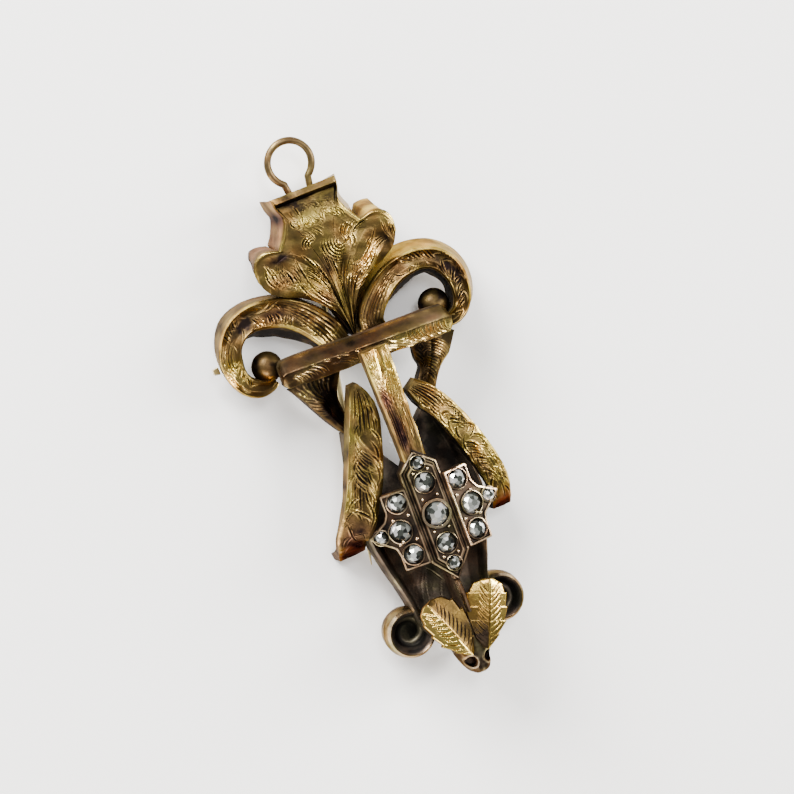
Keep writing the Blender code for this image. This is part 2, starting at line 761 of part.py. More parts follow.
def make_body(materials):
    """The vase-shaped back with an open volute on each side of its foot."""
    body = relief_solid("body", body_grid(22), BACK_LEVEL, lambda x, y: 0.0, materials["dark_gold"])
    radius = VOLUTE_DIAMETER / 2
    profile = [(share * radius, BACK_LEVEL + level * BODY_DEPTH) for share, level in VOLUTE_PROFILE]
    for side, share in ((-1, 1.0), (1, 0.89)):
        centre = (side * share * VOLUTE_SPREAD / 2, VOLUTE_Y)
        boolean(body, turned(f"volute_{side}", profile, 18, centre), "UNION")


def make_keel(materials):
    """The fin that stands on the body and carries the centre plate."""
    low = BODY_FLOOR + BODY_DEPTH * 0.06 + SOLDER_GAP
    under = SETTING_BACK - SOLDER_GAP
    proud = SETTING_BACK + SETTING_THICKNESS * 0.35
    rows = (
        (FRONT_SHIFT, SETTING_Y + SETTING_LENGTH * 0.62, under, low, KEEL_THICKNESS / 2),
        (FRONT_SHIFT, SETTING_Y + SETTING_LENGTH * 0.10, under, low, KEEL_THICKNESS / 2),
        (FRONT_SHIFT, SETTING_Y - SOLDER_GAP, under, low, KEEL_THICKNESS / 2),
        (FRONT_SHIFT, SETTING_Y - SOLDER_GAP * 3, proud, low, KEEL_THICKNESS / 2),
        (FRONT_SHIFT, BOSS_LENGTH + SOLDER_GAP * 6, proud, low, KEEL_THICKNESS * 0.4),
    )
    swept("keel", rows, KEEL_SECTION, materials["copper_gold"])


def plate_outline(half, inset):
    """The long hexagon of the centre plate, drawn in from its edge by inset."""
    top, bottom = SETTING_Y + SETTING_LENGTH, SETTING_Y
    shoulder = top - SETTING_WIDTH * 0.62 - inset * 0.3
    hip = bottom + SETTING_WIDTH * 0.9 + inset * 0.3
    left = [(0.0, top - inset), (-half, shoulder), (-half, hip)]
    right = [(0.0, bottom + inset), (half, hip), (half, shoulder)]
    return [(FRONT_SHIFT + x, y) for x, y in left + right]


def cut_pockets(plate, name, stones, bottom, top):
    """Cuts a round seat for each stone. stones holds x, y and diameter in the plate's own axes."""
    points, faces, sides = [], [], 16
    for x, y, diameter in stones:
        first = len(points)
        radius = diameter / 2 + STONE_GAP
        for height in (bottom, top):
            for k in range(sides):
                angle = 2 * math.pi * k / sides
                points.append((x + radius * math.cos(angle), y + radius * math.sin(angle), height))
        for k in range(sides):
            after = (k + 1) % sides
            faces.append((first + k, first + after, first + sides + after, first + sides + k))
        faces.append(tuple(first + k for k in range(sides)))
        faces.append(tuple(first + sides + k for k in range(sides)))
    cutter = mesh_object(name, points, faces, None)
    cutter.location, cutter.rotation_euler = plate.location, plate.rotation_euler
    boolean(plate, cutter, "DIFFERENCE")
    plate.modifiers[-1].use_self = True


def make_stone(name, x, y, diameter, seat, material, plate):
    """A rose-cut stone with a small table, on the seat of its plate."""
    rings = []
    for radius, height, turn in STONE_RINGS:
        ring = []
        for k in range(STONE_SIDES):
            angle = 2 * math.pi * (k + turn / 2) / STONE_SIDES
            reach = radius * diameter / 2
            level = seat + height * STONE_HEIGHT
            ring.append((x + reach * math.cos(angle), y + reach * math.sin(angle), level))
        rings.append(ring)
    stone = lofted(name, rings, material, 5)
    stone.location, stone.rotation_euler = plate.location, plate.rotation_euler


def make_setting(materials):
    """The stepped centre plate with its column of stones, one of them in a raised collet."""
    half, ledge = SETTING_WIDTH / 2, SETTING_LEDGE
    step = CENTRE_FRONT - STEP_HEIGHT
    outer, inner = plate_outline(half + ledge, 0.0), plate_outline(half, ledge)
    rings = []
    for outline, level in ((outer, SETTING_BACK), (outer, step), (inner, step), (inner, CENTRE_FRONT)):
        rings.append([(x, y, level) for x, y in outline])
    plate = lofted("setting_centre", rings, materials["copper_gold"])
    stones = [(FRONT_SHIFT, SETTING_Y + y * SETTING_LENGTH, d * STONE_DIAMETER) for y, d in CENTRE_STONES]
    x, y, diameter = stones[COLLET_STONE]
    ring = diameter / 2 + STONE_GAP + COLLET_WALL
    profile = ((ring, step + STEP_HEIGHT * 0.2), (ring, CENTRE_FRONT + COLLET_HEIGHT))
    boolean(plate, turned("collet", profile, 24, (x, y)), "UNION")
    seat = CENTRE_FRONT - POCKET_DEPTH
    cut_pockets(plate, "centre_pockets", stones, seat - STONE_GAP, CENTRE_FRONT + STONE_HEIGHT)
    for k, (x, y, diameter) in enumerate(stones):
        lift = COLLET_HEIGHT if k == COLLET_STONE else 0.0
        make_stone(f"stone_centre_{k + 1}", x, y, diameter, seat + lift, materials["diamond"], plate)


def make_wing(side, materials):
    """A plate of four stones beside the centre plate, leaning outward. Its inner wall stays upright."""
    name = "left" if side < 0 else "right"
    rings = []
    for depth, grow in ((1.0, 1.0), (0.1, 1.0), (0.0, 0.98)):
        inner = depth * WING_THICKNESS * math.tan(WING_LEAN)
        ring = []
        for x, y in WING_OUTLINE:
            out = max(x * WING_REACH * grow, inner)
            ring.append((side * out, y * WING_LENGTH * grow, -depth * WING_THICKNESS))
        rings.append(ring)
    plate = lofted(f"wing_{name}", rings, materials["copper_gold"])
    edge = SETTING_WIDTH / 2 + SETTING_LEDGE + SOLDER_GAP
    plate.location = (FRONT_SHIFT + side * edge, SETTING_Y + SETTING_LENGTH * 0.485, CENTRE_FRONT)
    plate.rotation_euler = (0.0, side * WING_LEAN, 0.0)
    stones = [(side * x * WING_REACH, y * WING_LENGTH, d * STONE_DIAMETER) for x, y, d in WING_STONES]
    seat = -POCKET_DEPTH
    cut_pockets(plate, f"{name}_pockets", stones, seat - STONE_GAP, STONE_HEIGHT)
    for k, (x, y, diameter) in enumerate(stones):
        make_stone(f"stone_{name}_{k + 1}", x, y, diameter, seat, materials["diamond"], plate)


def leaf_half_width(share):
    """Half a leaf's width, with saw teeth that point to its tip."""
    place, half = np.array(LEAF_OUTLINE).T
    tooth = (share * LEAF_TEETH) % 1.0
    return np.interp(share, place, half) * (0.86 + 0.14 * tooth)


def make_leaf(side, materials):
    """A serrated leaf, folded along its midrib, from the boss outward and up. The two meet at the middle."""
    name = "leaf_left" if side < 0 else "leaf_right"
    back = BACK_LEVEL + BOSS_DEPTH + SOLDER_GAP
    foot = (side * LEAF_WIDTH * 0.22, BODY_START * 0.82)
    seam = SOLDER_GAP / 2
    grid = []
    for across in (-1.0, -0.55, 0.0, 0.55, 1.0):
        line = []
        for share in np.linspace(0.0, 1.0, 3 * LEAF_TEETH + 1):
            reach = across * leaf_half_width(share) * LEAF_WIDTH / 2
            x = foot[0] + side * math.sin(LEAF_LEAN) * LEAF_LENGTH * share + math.cos(LEAF_LEAN) * reach
            y = foot[1] + math.cos(LEAF_LEAN) * LEAF_LENGTH * share - side * math.sin(LEAF_LEAN) * reach
            x = side * max(side * x, seam * (1.5 - 0.5 * side * across))
            bow = 1.0 - 0.55 * abs(across) - 0.5 * (2 * share - 1) ** 2
            line.append((FRONT_SHIFT * 1.6 + x, y, back + LEAF_THICKNESS * (0.7 + 0.6 * bow)))
        grid.append(line)
    relief_solid(name, np.array(grid), back, lambda x, y: 0.0, materials["leaf_gold"])


def make_boss(materials):
    """The boss that ends the body, with two round holes beside its nose."""
    half = BOSS_WIDTH / 2
    top = BACK_LEVEL + BOSS_DEPTH
    rows = (
        (0.0, 0.0, BACK_LEVEL + BOSS_DEPTH * 0.72, BACK_LEVEL + BOSS_DEPTH * 0.45, half * 0.30),
        (0.0, BOSS_LENGTH * 0.05, BACK_LEVEL + BOSS_DEPTH * 0.84, BACK_LEVEL + BOSS_DEPTH * 0.30, half * 0.48),
        (0.0, BOSS_LENGTH * 0.18, BACK_LEVEL + BOSS_DEPTH * 0.90, BACK_LEVEL + BOSS_DEPTH * 0.12, half * 0.70),
        (0.0, BOSS_LENGTH * 0.38, BACK_LEVEL + BOSS_DEPTH * 0.95, BACK_LEVEL, half * 0.86),
        (0.0, BODY_START - SOLDER_GAP * 2, top, BACK_LEVEL, half * 0.92),
        (0.0, BODY_START - SOLDER_GAP, top, BODY_RIM + SOLDER_GAP, half * 0.94),
        (0.0, BOSS_LENGTH, top, BODY_RIM + SOLDER_GAP, half),
    )
    boss = swept("tip_boss", rows, BOSS_SECTION, materials["copper_gold"])
    for side in (-1, 1):
        profile = [(BOSS_HOLE / 2, BACK_LEVEL + BOSS_DEPTH * 0.5), (BOSS_HOLE / 2, top + SOLDER_GAP)]
        hole = turned(f"boss_hole_{side}", profile, 12, (side * half * 0.36, BOSS_LENGTH * 0.25))
        boolean(boss, hole, "DIFFERENCE")


def make_pin(materials):
    """The hinge block with a flat foot and the pin that leaves it, one plain solid."""
    hinge_y = V_POINT_Y + CREST_HEIGHT * 0.60
    top = BACK_LEVEL - SOLDER_GAP
    width, length = HINGE_WIDTH / 2, HINGE_LENGTH / 2
    rings = []
    for level, grow in ((0.0, 0.96), (top * 0.1, 1.0), (top, 1.0)):
        across, along = width * grow, length * grow
        corners = ((-across, -along), (across, -along), (across, along), (-across, along))
        rings.append([(x, hinge_y + y, level) for x, y in corners])
    block = lofted("brooch_pin", rings, materials["brass"])
    radius, sides = PIN_WIRE / 2, 10
    rings = []
    for share, size in ((0.0, 1.0), (0.80, 1.0), (0.93, 0.7), (1.0, 0.2)):
        x = -math.sin(PIN_LEAN) * PIN_LENGTH * share
        y = hinge_y - math.cos(PIN_LEAN) * PIN_LENGTH * share
        ring = []
        for k in range(sides):
            angle = 2 * math.pi * k / sides
            ring.append((x + radius * size * math.cos(angle), y, PIN_LEVEL + radius * size * math.sin(angle)))
        rings.append(ring)
    boolean(block, lofted("pin_wire", rings, None), "UNION")


def make_catch(materials):
    """A hook under the body's rim that goes round the pin, open on its outer side."""
    share = 0.82
    hinge_y = V_POINT_Y + CREST_HEIGHT * 0.60
    y = hinge_y - math.cos(PIN_LEAN) * PIN_LENGTH * share
    pin_x = -math.sin(PIN_LEAN) * PIN_LENGTH * share
    wall, space = CATCH_WALL, PIN_WIRE / 2 + SOLDER_GAP * 2
    top = BACK_LEVEL - SOLDER_GAP
    inner = pin_x + space
    outer = pin_x - space - wall
    outline = (
        (inner + wall + space * 2, top),
        (outer, top),
        (outer, PIN_LEVEL + space * 0.6),
        (pin_x - space, PIN_LEVEL + space * 0.6),
        (pin_x - space, PIN_LEVEL + space),
        (inner, PIN_LEVEL + space),
        (inner, PIN_LEVEL - space),
        (outer, PIN_LEVEL - space),
        (outer, PIN_LEVEL - space - wall),
        (inner + wall, PIN_LEVEL - space - wall),
        (inner + wall, PIN_LEVEL + space),
        (inner + wall + space * 2, PIN_LEVEL + space * 1.2),
    )
    rings = [[(x, y + side * CATCH_WIDTH / 2, z) for x, z in outline] for side in (-1, 1)]
    lofted("pin_catch", rings, materials["brass"])


def make_lug(materials):
    """A small square lug on the outer wall of the left scroll."""
    place, _, _, half, _, outer = SCROLL_LEFT[LUG_ROW]
    x = -(SCROLL_REACH * place + BAND_WIDTH / 2 * half + BAND_SPREAD * outer + SOLDER_GAP * 2)
    y = BAR_Y + SCROLL_HEIGHT * 0.5
    width, half = LUG_SIZE * 0.8, LUG_SIZE / 2
    outline = ((x, y - half), (x - width, y - half * 0.7), (x - width, y + half * 0.7), (x, y + half))
    rings = [[(*corner, height) for corner in outline] for height in (BACK_LEVEL, BACK_LEVEL + LUG_SIZE)]
    lofted("side_lug", rings, materials["brass"])


def centre_on_origin():
    """Moves the whole brooch so that the middle of the box around it stands over the origin."""
    bpy.context.view_layer.update()
    graph = bpy.context.evaluated_depsgraph_get()
    shown = [o for o in bpy.data.objects if not o.hide_render]
    corners = []
    for piece in shown:
        solid = piece.evaluated_get(graph)
        corners += [tuple(solid.matrix_world @ v.co) for v in solid.to_mesh().vertices]
        solid.to_mesh_clear()
    corners = np.array(corners)
    middle = (corners.min(0) + corners.max(0)) / 2
    for piece in bpy.data.objects:
        piece.location.x -= middle[0]
        piece.location.y -= middle[1]


def main():
    clear_scene()
    materials = make_materials()
    make_bail(materials)
    make_crest(materials)
    make_scroll(-1, SCROLL_LEFT, BALL_LEFT, materials)
    make_scroll(1, SCROLL_RIGHT, BALL_RIGHT, materials)
    make_crossbar(materials)
    make_centre_bar(materials)
    make_loop(-1, LOOP_LEFT, materials)
    make_loop(1, LOOP_RIGHT, materials)
    make_body(materials)
    make_keel(materials)
    make_setting(materials)
    make_wing(-1, materials)
    make_wing(1, materials)
    make_leaf(-1, materials)
    make_leaf(1, materials)
    make_boss(materials)
    make_pin(materials)
    make_catch(materials)
    make_lug(materials)
    centre_on_origin()


main()
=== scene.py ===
"""The looks of the gold pendant brooch: carved gold, dark back, rose-cut stones, light and camera.

Shapes are worked out in millimetres from the tip: +X is the viewer's right, +Y runs from the tip
to the bail and +Z comes out of the front. A side is -1 at the viewer's left and 1 at the right.
"""

import math

import bpy
import numpy as np
from mathutils import Matrix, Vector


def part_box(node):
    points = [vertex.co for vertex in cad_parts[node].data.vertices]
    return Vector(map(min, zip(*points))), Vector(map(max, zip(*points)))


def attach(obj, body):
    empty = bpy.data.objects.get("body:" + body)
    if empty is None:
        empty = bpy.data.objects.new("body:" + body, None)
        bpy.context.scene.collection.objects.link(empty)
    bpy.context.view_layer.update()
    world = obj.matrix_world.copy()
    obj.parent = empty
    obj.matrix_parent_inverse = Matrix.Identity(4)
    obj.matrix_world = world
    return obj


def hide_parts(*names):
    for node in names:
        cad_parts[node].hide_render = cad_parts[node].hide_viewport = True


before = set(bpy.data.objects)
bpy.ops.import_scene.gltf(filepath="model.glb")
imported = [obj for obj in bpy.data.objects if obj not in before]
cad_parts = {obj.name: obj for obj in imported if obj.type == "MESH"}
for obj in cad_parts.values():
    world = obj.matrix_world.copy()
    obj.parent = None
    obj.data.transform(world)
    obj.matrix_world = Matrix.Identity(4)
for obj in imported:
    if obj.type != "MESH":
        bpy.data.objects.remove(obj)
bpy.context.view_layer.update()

MM = 0.001

# Sizes of the real object, in millimetres
SOLDER_GAP = 0.08
BACK_LEVEL = 1.6
FRONT_SHIFT = 0.3
BOSS_LENGTH, BOSS_WIDTH, BOSS_DEPTH = 4.9, 3.9, 5.5
BOSS_HOLE_RADIUS, BOSS_HOLE_DEPTH, BOSS_HOLE_EDGE = 0.33, 1.1, 0.035
LEAF_LENGTH, LEAF_WIDTH, LEAF_THICKNESS = 5.5, 3.0, 0.6
LEAF_LEAN = math.radians(22)
BODY_START, BODY_LENGTH, BODY_WIDTH, BODY_DEPTH = 2.5, 19.1, 10.0, 2.9
VOLUTE_DIAMETER, VOLUTE_SPREAD = 3.9, 8.2
KEEL_THICKNESS = 0.5
SETTING_LENGTH, SETTING_WIDTH, SETTING_LEDGE, SETTING_THICKNESS = 10.9, 2.2, 0.5, 1.6
STEP_HEIGHT, GROOVE_DEPTH = 0.5, 0.16
COLLET_WALL, COLLET_HEIGHT = 0.22, 0.25
COLLAR_WALL, COLLAR_HEIGHT, WING_COLLAR_WALL, WING_COLLAR_HEIGHT = 0.07, 0.05, 0.09, 0.03
GRAIN_DIAMETER, GRAIN_PLACE, WING_GRAIN_DIAMETER = 0.26, 0.62, 0.30
CORNER_RADIUS, WING_CORNER_RADIUS = 0.10, 0.16
WING_LENGTH, WING_REACH, WING_THICKNESS = 6.3, 4.1, 1.1
WING_LEAN = math.radians(17)
STONE_DIAMETER, STONE_HEIGHT, POCKET_DEPTH = 2.0, 0.75, 0.4
STRAP_RISE, STRAP_WIDTH = 6.1, 2.6
BAR_LENGTH, BAR_WIDTH, BAR_DEPTH, BAR_SLOPE = 14.2, 2.5, 2.1, 0.55
CENTRE_BAR_WIDTH, CENTRE_BAR_DEPTH, CENTRE_BAR_TAPER = 2.24, 1.7, 0.18
FORK_REACH = 2.0
LOOP_LENGTH, LOOP_SPREAD, LOOP_WIDTH = 13.6, 7.0, 2.3
SCROLL_REACH, SCROLL_HEIGHT, SCROLL_DEPTH = 9.75, 4.2, 3.4
BAND_WIDTH, BAND_SPREAD, BALL_DIAMETER = 1.95, 1.0, 2.5
CREST_WIDTH, CREST_HEIGHT, CREST_DEPTH = 11.8, 12.45, 4.1
CREST_FLARE_LEFT, CREST_FLARE_RIGHT, CREST_UNDERCUT = 0.25, 0.75, 0.55
BAIL_WIDTH, BAIL_WIRE, BAIL_LEG = 4.1, 0.58, 0.55
BAIL_OPENING = math.radians(70)

# Places and sizes as shares of a larger size
SETTING_SHOULDER, SETTING_HIP, WING_PLACE = 0.62, 0.9, 0.485
BOSS_HOLE_X, BOSS_HOLE_Y = 0.36, 0.25
LEAF_FOOT_X, LEAF_FOOT_Y, LEAF_TOOTH = 0.22, 0.82, 0.14
BAIL_LEVEL, BAIL_FOOT = 0.58, 0.50
BALL_LEVEL = 0.62
RIGHT_VOLUTE = 0.89
RIB_SCALE = 0.8
BODY_NOTCH, NOTCH_POWER = 0.23, 1.6

# Points of the round and the carved forms
WIRE_SIDES, ARC_STEPS = 18, 70
BALL_SIDES, BALL_RINGS = 40, 22
COLLAR_SIDES, CORNER_STEPS = 40, 5
VOLUTE_SIDES, VOLUTE_RINGS = 72, 40
CREST_FIELD, CREST_PETAL, CREST_ROWS = 72, 78, 210
BODY_COLUMNS, RIM_COLUMNS, BODY_ROWS = 70, 16, 190
LEAF_COLUMNS, LEAF_ROWS = 64, 120
SHARP_EDGE = math.radians(45)

BODY_TOP = BODY_START + BODY_LENGTH
BAR_Y = BODY_TOP + STRAP_RISE
V_POINT_Y = BAR_Y + BAR_WIDTH * 0.42
CREST_TOP = V_POINT_Y + CREST_HEIGHT
SETTING_Y = BODY_START + BODY_LENGTH * 0.3
VOLUTE_Y = BODY_START + VOLUTE_DIAMETER * 0.58
SCROLL_FRONT = BACK_LEVEL + SCROLL_DEPTH
BAR_BACK = SCROLL_FRONT + SOLDER_GAP
BAR_FRONT = BAR_BACK + BAR_DEPTH
CENTRE_BACK = BAR_FRONT + SOLDER_GAP
CENTRE_FRONT = CENTRE_BACK + CENTRE_BAR_DEPTH
SETTING_BACK = CENTRE_FRONT - SETTING_THICKNESS
BODY_RIM = BACK_LEVEL + BODY_DEPTH
BODY_FLOOR = BACK_LEVEL + BODY_DEPTH * 0.5


def shares(*rows):
    """A table typed in percent, as shares."""
    return np.array(rows) / 100


# Sections of the bands. Columns: across (share of half the width), level (share of the depth)
SCROLL_SECTION = shares(
    (100, 0), (100, 90), (88, 100), (35, 86), (-35, 84), (-86, 98), (-100, 90), (-100, 0),
)
LOOP_SECTION = shares((106, 0), (100, 74), (84, 82), (0, 93), (-84, 100), (-100, 94), (-100, 0))
BAR_SECTION = shares((105, 0), (100, 33), (26, 100), (-85, 52), (-90, 0))
STRAP_SECTION = shares((100, 0), (100, 82), (45, 100), (10, 76), (0, 56), (-100, 45), (-100, 0))
CENTRE_BAR_SECTION = shares(
    (100, 0), (100, 84), (80, 100), (36, 97), (0, 80), (-36, 97), (-80, 100), (-100, 84), (-100, 0),
)
BOSS_SECTION = shares(
    (70, 0), (86, 35), (66, 85), (34, 100), (-34, 100), (-66, 85), (-86, 35), (-70, 0),
)
KEEL_SECTION = shares((100, 0), (100, 90), (40, 100), (-40, 100), (-100, 90), (-100, 0))

# How each band is made. Columns: section, step along it (mm), points across its top and up
# each wall, softness of its top, tarnish, warmth, tarnish with painted shade of its + and of its -
# wall: the inner walls are painted near black as shade, each outer wall lighter or darker by how
# the light falls on it
BANDS = {
    "scroll_left": (SCROLL_SECTION, 0.055, 48, 9, 0.7, 0.50, 0.08, 0.97, 0.62),
    "scroll_right": (SCROLL_SECTION, 0.055, 48, 9, 0.7, 0.53, 0.08, 0.97, 0.16),
    "loop_left": (LOOP_SECTION, 0.055, 52, 9, 0.55, 0.58, 0.04, 0.66, 0.95),
    "loop_right": (LOOP_SECTION, 0.055, 52, 9, 0.55, 0.58, 0.04, 0.40, 0.95),
    "bar": (BAR_SECTION, 0.055, 64, 6, 0.35, 0.48, 0.20, 0.6, 0.8),
    "strap_left": (STRAP_SECTION, 0.055, 44, 8, 0.5, 0.64, 0.1, 0.80, 0.95),
    "strap_right": (STRAP_SECTION, 0.055, 44, 8, 0.5, 0.64, 0.1, 0.80, 0.95),
    "centre_bar": (CENTRE_BAR_SECTION, 0.05, 57, 8, 0.45, 0.30, 0.05, 0.85, 0.6),
    "keel": (KEEL_SECTION, 0.08, 16, 8, 0.6, 0.35, 0.6, 0.7, 0.55),
    "boss": (BOSS_SECTION, 0.045, 84, 10, 0.8, 0.50, 0.25, 0.50, 0.50),
}

# Middle lines of the bands. Columns of a scroll: x (share of the reach), y (share of the
# height), drop of the front, half width, spread of the inner and the outer wall at the back.
# Of a loop: x (share of the spread), y (share of the length below the bar), drop of the front,
# height of the back, half width.
# Of a strap: x (share of half the bar), y (share of the rise above the body), front, back, half
# width.
LINES = {
    "scroll_left": shares(
        (14.6, 14, 20, 113, 10, 0), (19.1, 47, 14, 126, 30, 0), (26.4, 73, 10, 127, 60, 5),
        (35.5, 96, 6, 122, 90, 10), (47.3, 115, 3, 116, 100, 10), (61.9, 125, 0, 111, 100, 10),
        (76.3, 127, 0, 104, 80, 10), (89.3, 116, 0, 99, 60, 10), (98.5, 92, 2, 93, 40, -10),
        (102.4, 61, 4, 92, 30, -27), (101.1, 28, 6, 84, 20, -27), (95.4, 7, 8, 80, 10, -10),
        (86.5, -5, 12, 70, 0, 0), (78.6, -7, 18, 50, 0, 0), (72.5, -1, 24, 37, 0, 0),
    ),
    "scroll_right": shares(
        (18, 14, 20, 110, 0, 0), (16.5, 38, 14, 108, 10, 0), (22, 63, 10, 106, 40, 5),
        (31.9, 87, 6, 99, 80, 10), (44.5, 106, 3, 92, 100, 20), (58, 115, 0, 85, 100, 50),
        (71, 115, 0, 80, 80, 60), (84, 103, 0, 82, 50, 70), (92, 78, 2, 83, 30, 90),
        (95.1, 48, 4, 76, 0, 100), (93.5, 17, 6, 68, 0, 90), (88.4, -4, 8, 60, 0, 60),
        (80.7, -14, 12, 55, 0, 30), (73.9, -15, 18, 40, 0, 10), (68.8, -8, 24, 32, 0, 0),
    ),
    "loop_left": shares(
        (27.2, 16.7, 2, 70, 28), (26.3, 24.7, 1, 69, 70), (27.4, 33.9, 0, 68, 97),
        (34.7, 47.4, 2, 66, 111), (43.9, 60.9, 4, 66, 119), (52.7, 72.7, 7, 66, 122),
        (62.8, 83.5, 11, 66, 115), (73.8, 93.8, 17, 66, 118), (86.2, 102.2, 26, 66, 105),
        (87.5, 107.5, 36, 40, 100), (87, 111, 46, 0, 98), (86.2, 114.8, 62, 0, 96),
    ),
    "loop_right": shares(
        (33.7, 29.1, 2, 70, 51), (44.9, 37.6, 0, 68, 85), (58.3, 47.8, 3, 66, 88),
        (69.5, 59.5, 6, 66, 87), (77.5, 70.7, 9, 66, 91), (84.3, 81.8, 12, 66, 91),
        (90.2, 92.6, 17, 64, 87), (94.1, 103.5, 25, 56, 81), (95.7, 113.5, 38, 0, 78),
        (95.1, 120.5, 58, 0, 73),
    ),
    "strap_left": shares(
        (65.6, 87.2, 84, 62, 186), (62.7, 54.6, 74, 33, 105), (54.2, 23, 58, 8, 62),
        (45.8, 5.2, 48, 0, 51),
    ),
    "strap_right": shares(
        (73.9, 90.2, 84, 62, 141), (67.2, 60.7, 76, 40, 102), (63.8, 44.2, 64, 15, 55),
        (55.6, 24.6, 54, 0, 49), (51.4, 8.9, 48, 0, 46),
    ),
}
BALLS = {-1: (0.745, 0.268), 1: (0.722, 0.215)}
BAR_ENDS = shares((-100, 62), (-95, 94), (-50, 100), (0, 92), (50, 100), (95, 94), (100, 62))
# Boss's middle line. Columns: y (share of the length), front, back (of the depth), half width
BOSS_LINE = shares((0, 72, 45, 30), (5, 84, 30, 48), (18, 90, 12, 70), (38, 95, 0, 86))

# Body's outline. Columns: y (share of the length), left and right half widths (shares)
BODY_OUTLINE = shares(
    (0, 30, 32), (6, 52, 52), (14, 66, 64), (24, 70, 68), (31, 76, 78), (39, 84, 88), (50, 93, 103),
    (60, 97, 110), (73, 92, 106), (86, 82, 95), (100, 70, 82),
)
BODY_SECTION = shares((0, 52), (30, 50), (60, 54), (82, 68), (90, 94), (96, 100), (100, 90))
VOLUTE_PROFILE = shares((100, 0), (106, 45), (100, 85), (90, 95), (78, 86), (62, 52), (30, 36))
# A few scratches on the body. Columns: first and last stroke, count, bend
BODY_CUTS = (
    ((-0.55, 0.20, -0.20, 0.36), (-0.10, 0.16, 0.0, 0.30), 5, 0.10),
    ((-0.45, 0.34, -0.10, 0.22), (0.20, 0.42, 0.30, 0.26), 4, 0.05),
)

# Crest, right half. Columns: x (share of half the width), y (share of the height)
PETAL_TOP = shares((0, 0), (3, 12), (6, 25), (9, 37), (17.5, 49), (36, 60.5), (59.5, 68.5))
PETAL_FOOT = shares(
    (2, 0), (5.5, 7), (14, 17), (29, 26.5), (50, 34.5), (73, 39.5), (90.5, 45.5), (100, 54.5),
)
CREST_FLANK = shares((46.5, 100), (44, 93), (39.5, 86), (47, 77), (59.5, 68.5))
PETAL_END = shares((59.5, 68.5), (79, 70.5), (93.5, 68), (100, 62), (100, 54.5))
# Level of the crest along its height, and swelling of a petal across it
CREST_SPINE = shares(
    (0, 72), (20, 84), (45, 95), (75, 100), (90, 95), (93.5, 90), (96.5, 102), (100, 93),
)
PETAL_SECTION = shares((0, -4), (14, 8), (30, 9), (60, -1), (85, 3), (100, -8))

LEAF_OUTLINE = shares((0, 12), (18, 60), (40, 98), (62, 100), (82, 92), (93, 70), (100, 25))
LEAF_TEETH = 5

# Stones. Columns: x and y (shares of their plate), diameter (share of the largest)
CENTRE_STONES = shares((91, 60), (76, 85), (52, 100), (29, 85), (13.5, 60))
COLLET_STONE = 2
WING_STONES = shares((24, 35.5, 82), (36, 0, 92), (75.5, 0.5, 60), (27.5, -32.5, 82))
WING_OUTLINE = shares(
    (0, 50), (52, 50), (52, 26.5), (60, 17.5), (100, 2), (56, -20), (53, -30), (53, -50), (0, -50),
)
# Places of the small beads on a wing (mm)
WING_GRAINS = ((0.45, 1.05), (1.75, 1.0), (0.45, -0.95), (1.85, -1.0), (1.55, -0.85))
# Rings of the centre plate. Columns: how far in (mm), 0 for the step and 1 for the front, how far
# below that (mm), tarnish with painted shade (the rings that drop into a groove are painted dark),
# warmth
SETTING_PROFILE = (
    (0.00, 0, 0.12, 0.55, 0.5), (0.06, 0, 0.02, 0.26, 0.6), (0.15, 0, 0.00, 0.36, 0.6),
    (0.19, 0, 0.10, 0.85, 0.4), (0.26, 0, 0.10, 0.85, 0.4), (0.30, 0, 0.01, 0.40, 0.5),
    (0.38, 0, 0.01, 0.45, 0.5), (0.42, 0, 0.12, 0.90, 0.4), (0.48, 0, 0.12, 0.90, 0.4),
    (0.50, 1, 0.06, 0.35, 0.5), (0.54, 1, 0.00, 0.24, 0.5), (0.62, 1, 0.00, 0.34, 0.5),
    (0.67, 1, GROOVE_DEPTH, 0.80, 0.2),
)
# Rings of a stone. Columns: radius, height (shares), turn (in half facets)
STONE_RINGS = ((0.94, 0.00, 0), (1.00, 0.22, 0), (0.62, 0.78, 1), (0.30, 1.00, 1))
STONE_SIDES = 8
# Painted reflections on a stone's facets and on its table, 0 for clear and 1 for dark
STONE_PAINTED_REFLECTIONS = shares(0, 66, 95, 42, 5, 80, 100, 33)
TABLE_PAINTED_REFLECTIONS = (0.15, 0.50, 0.66)

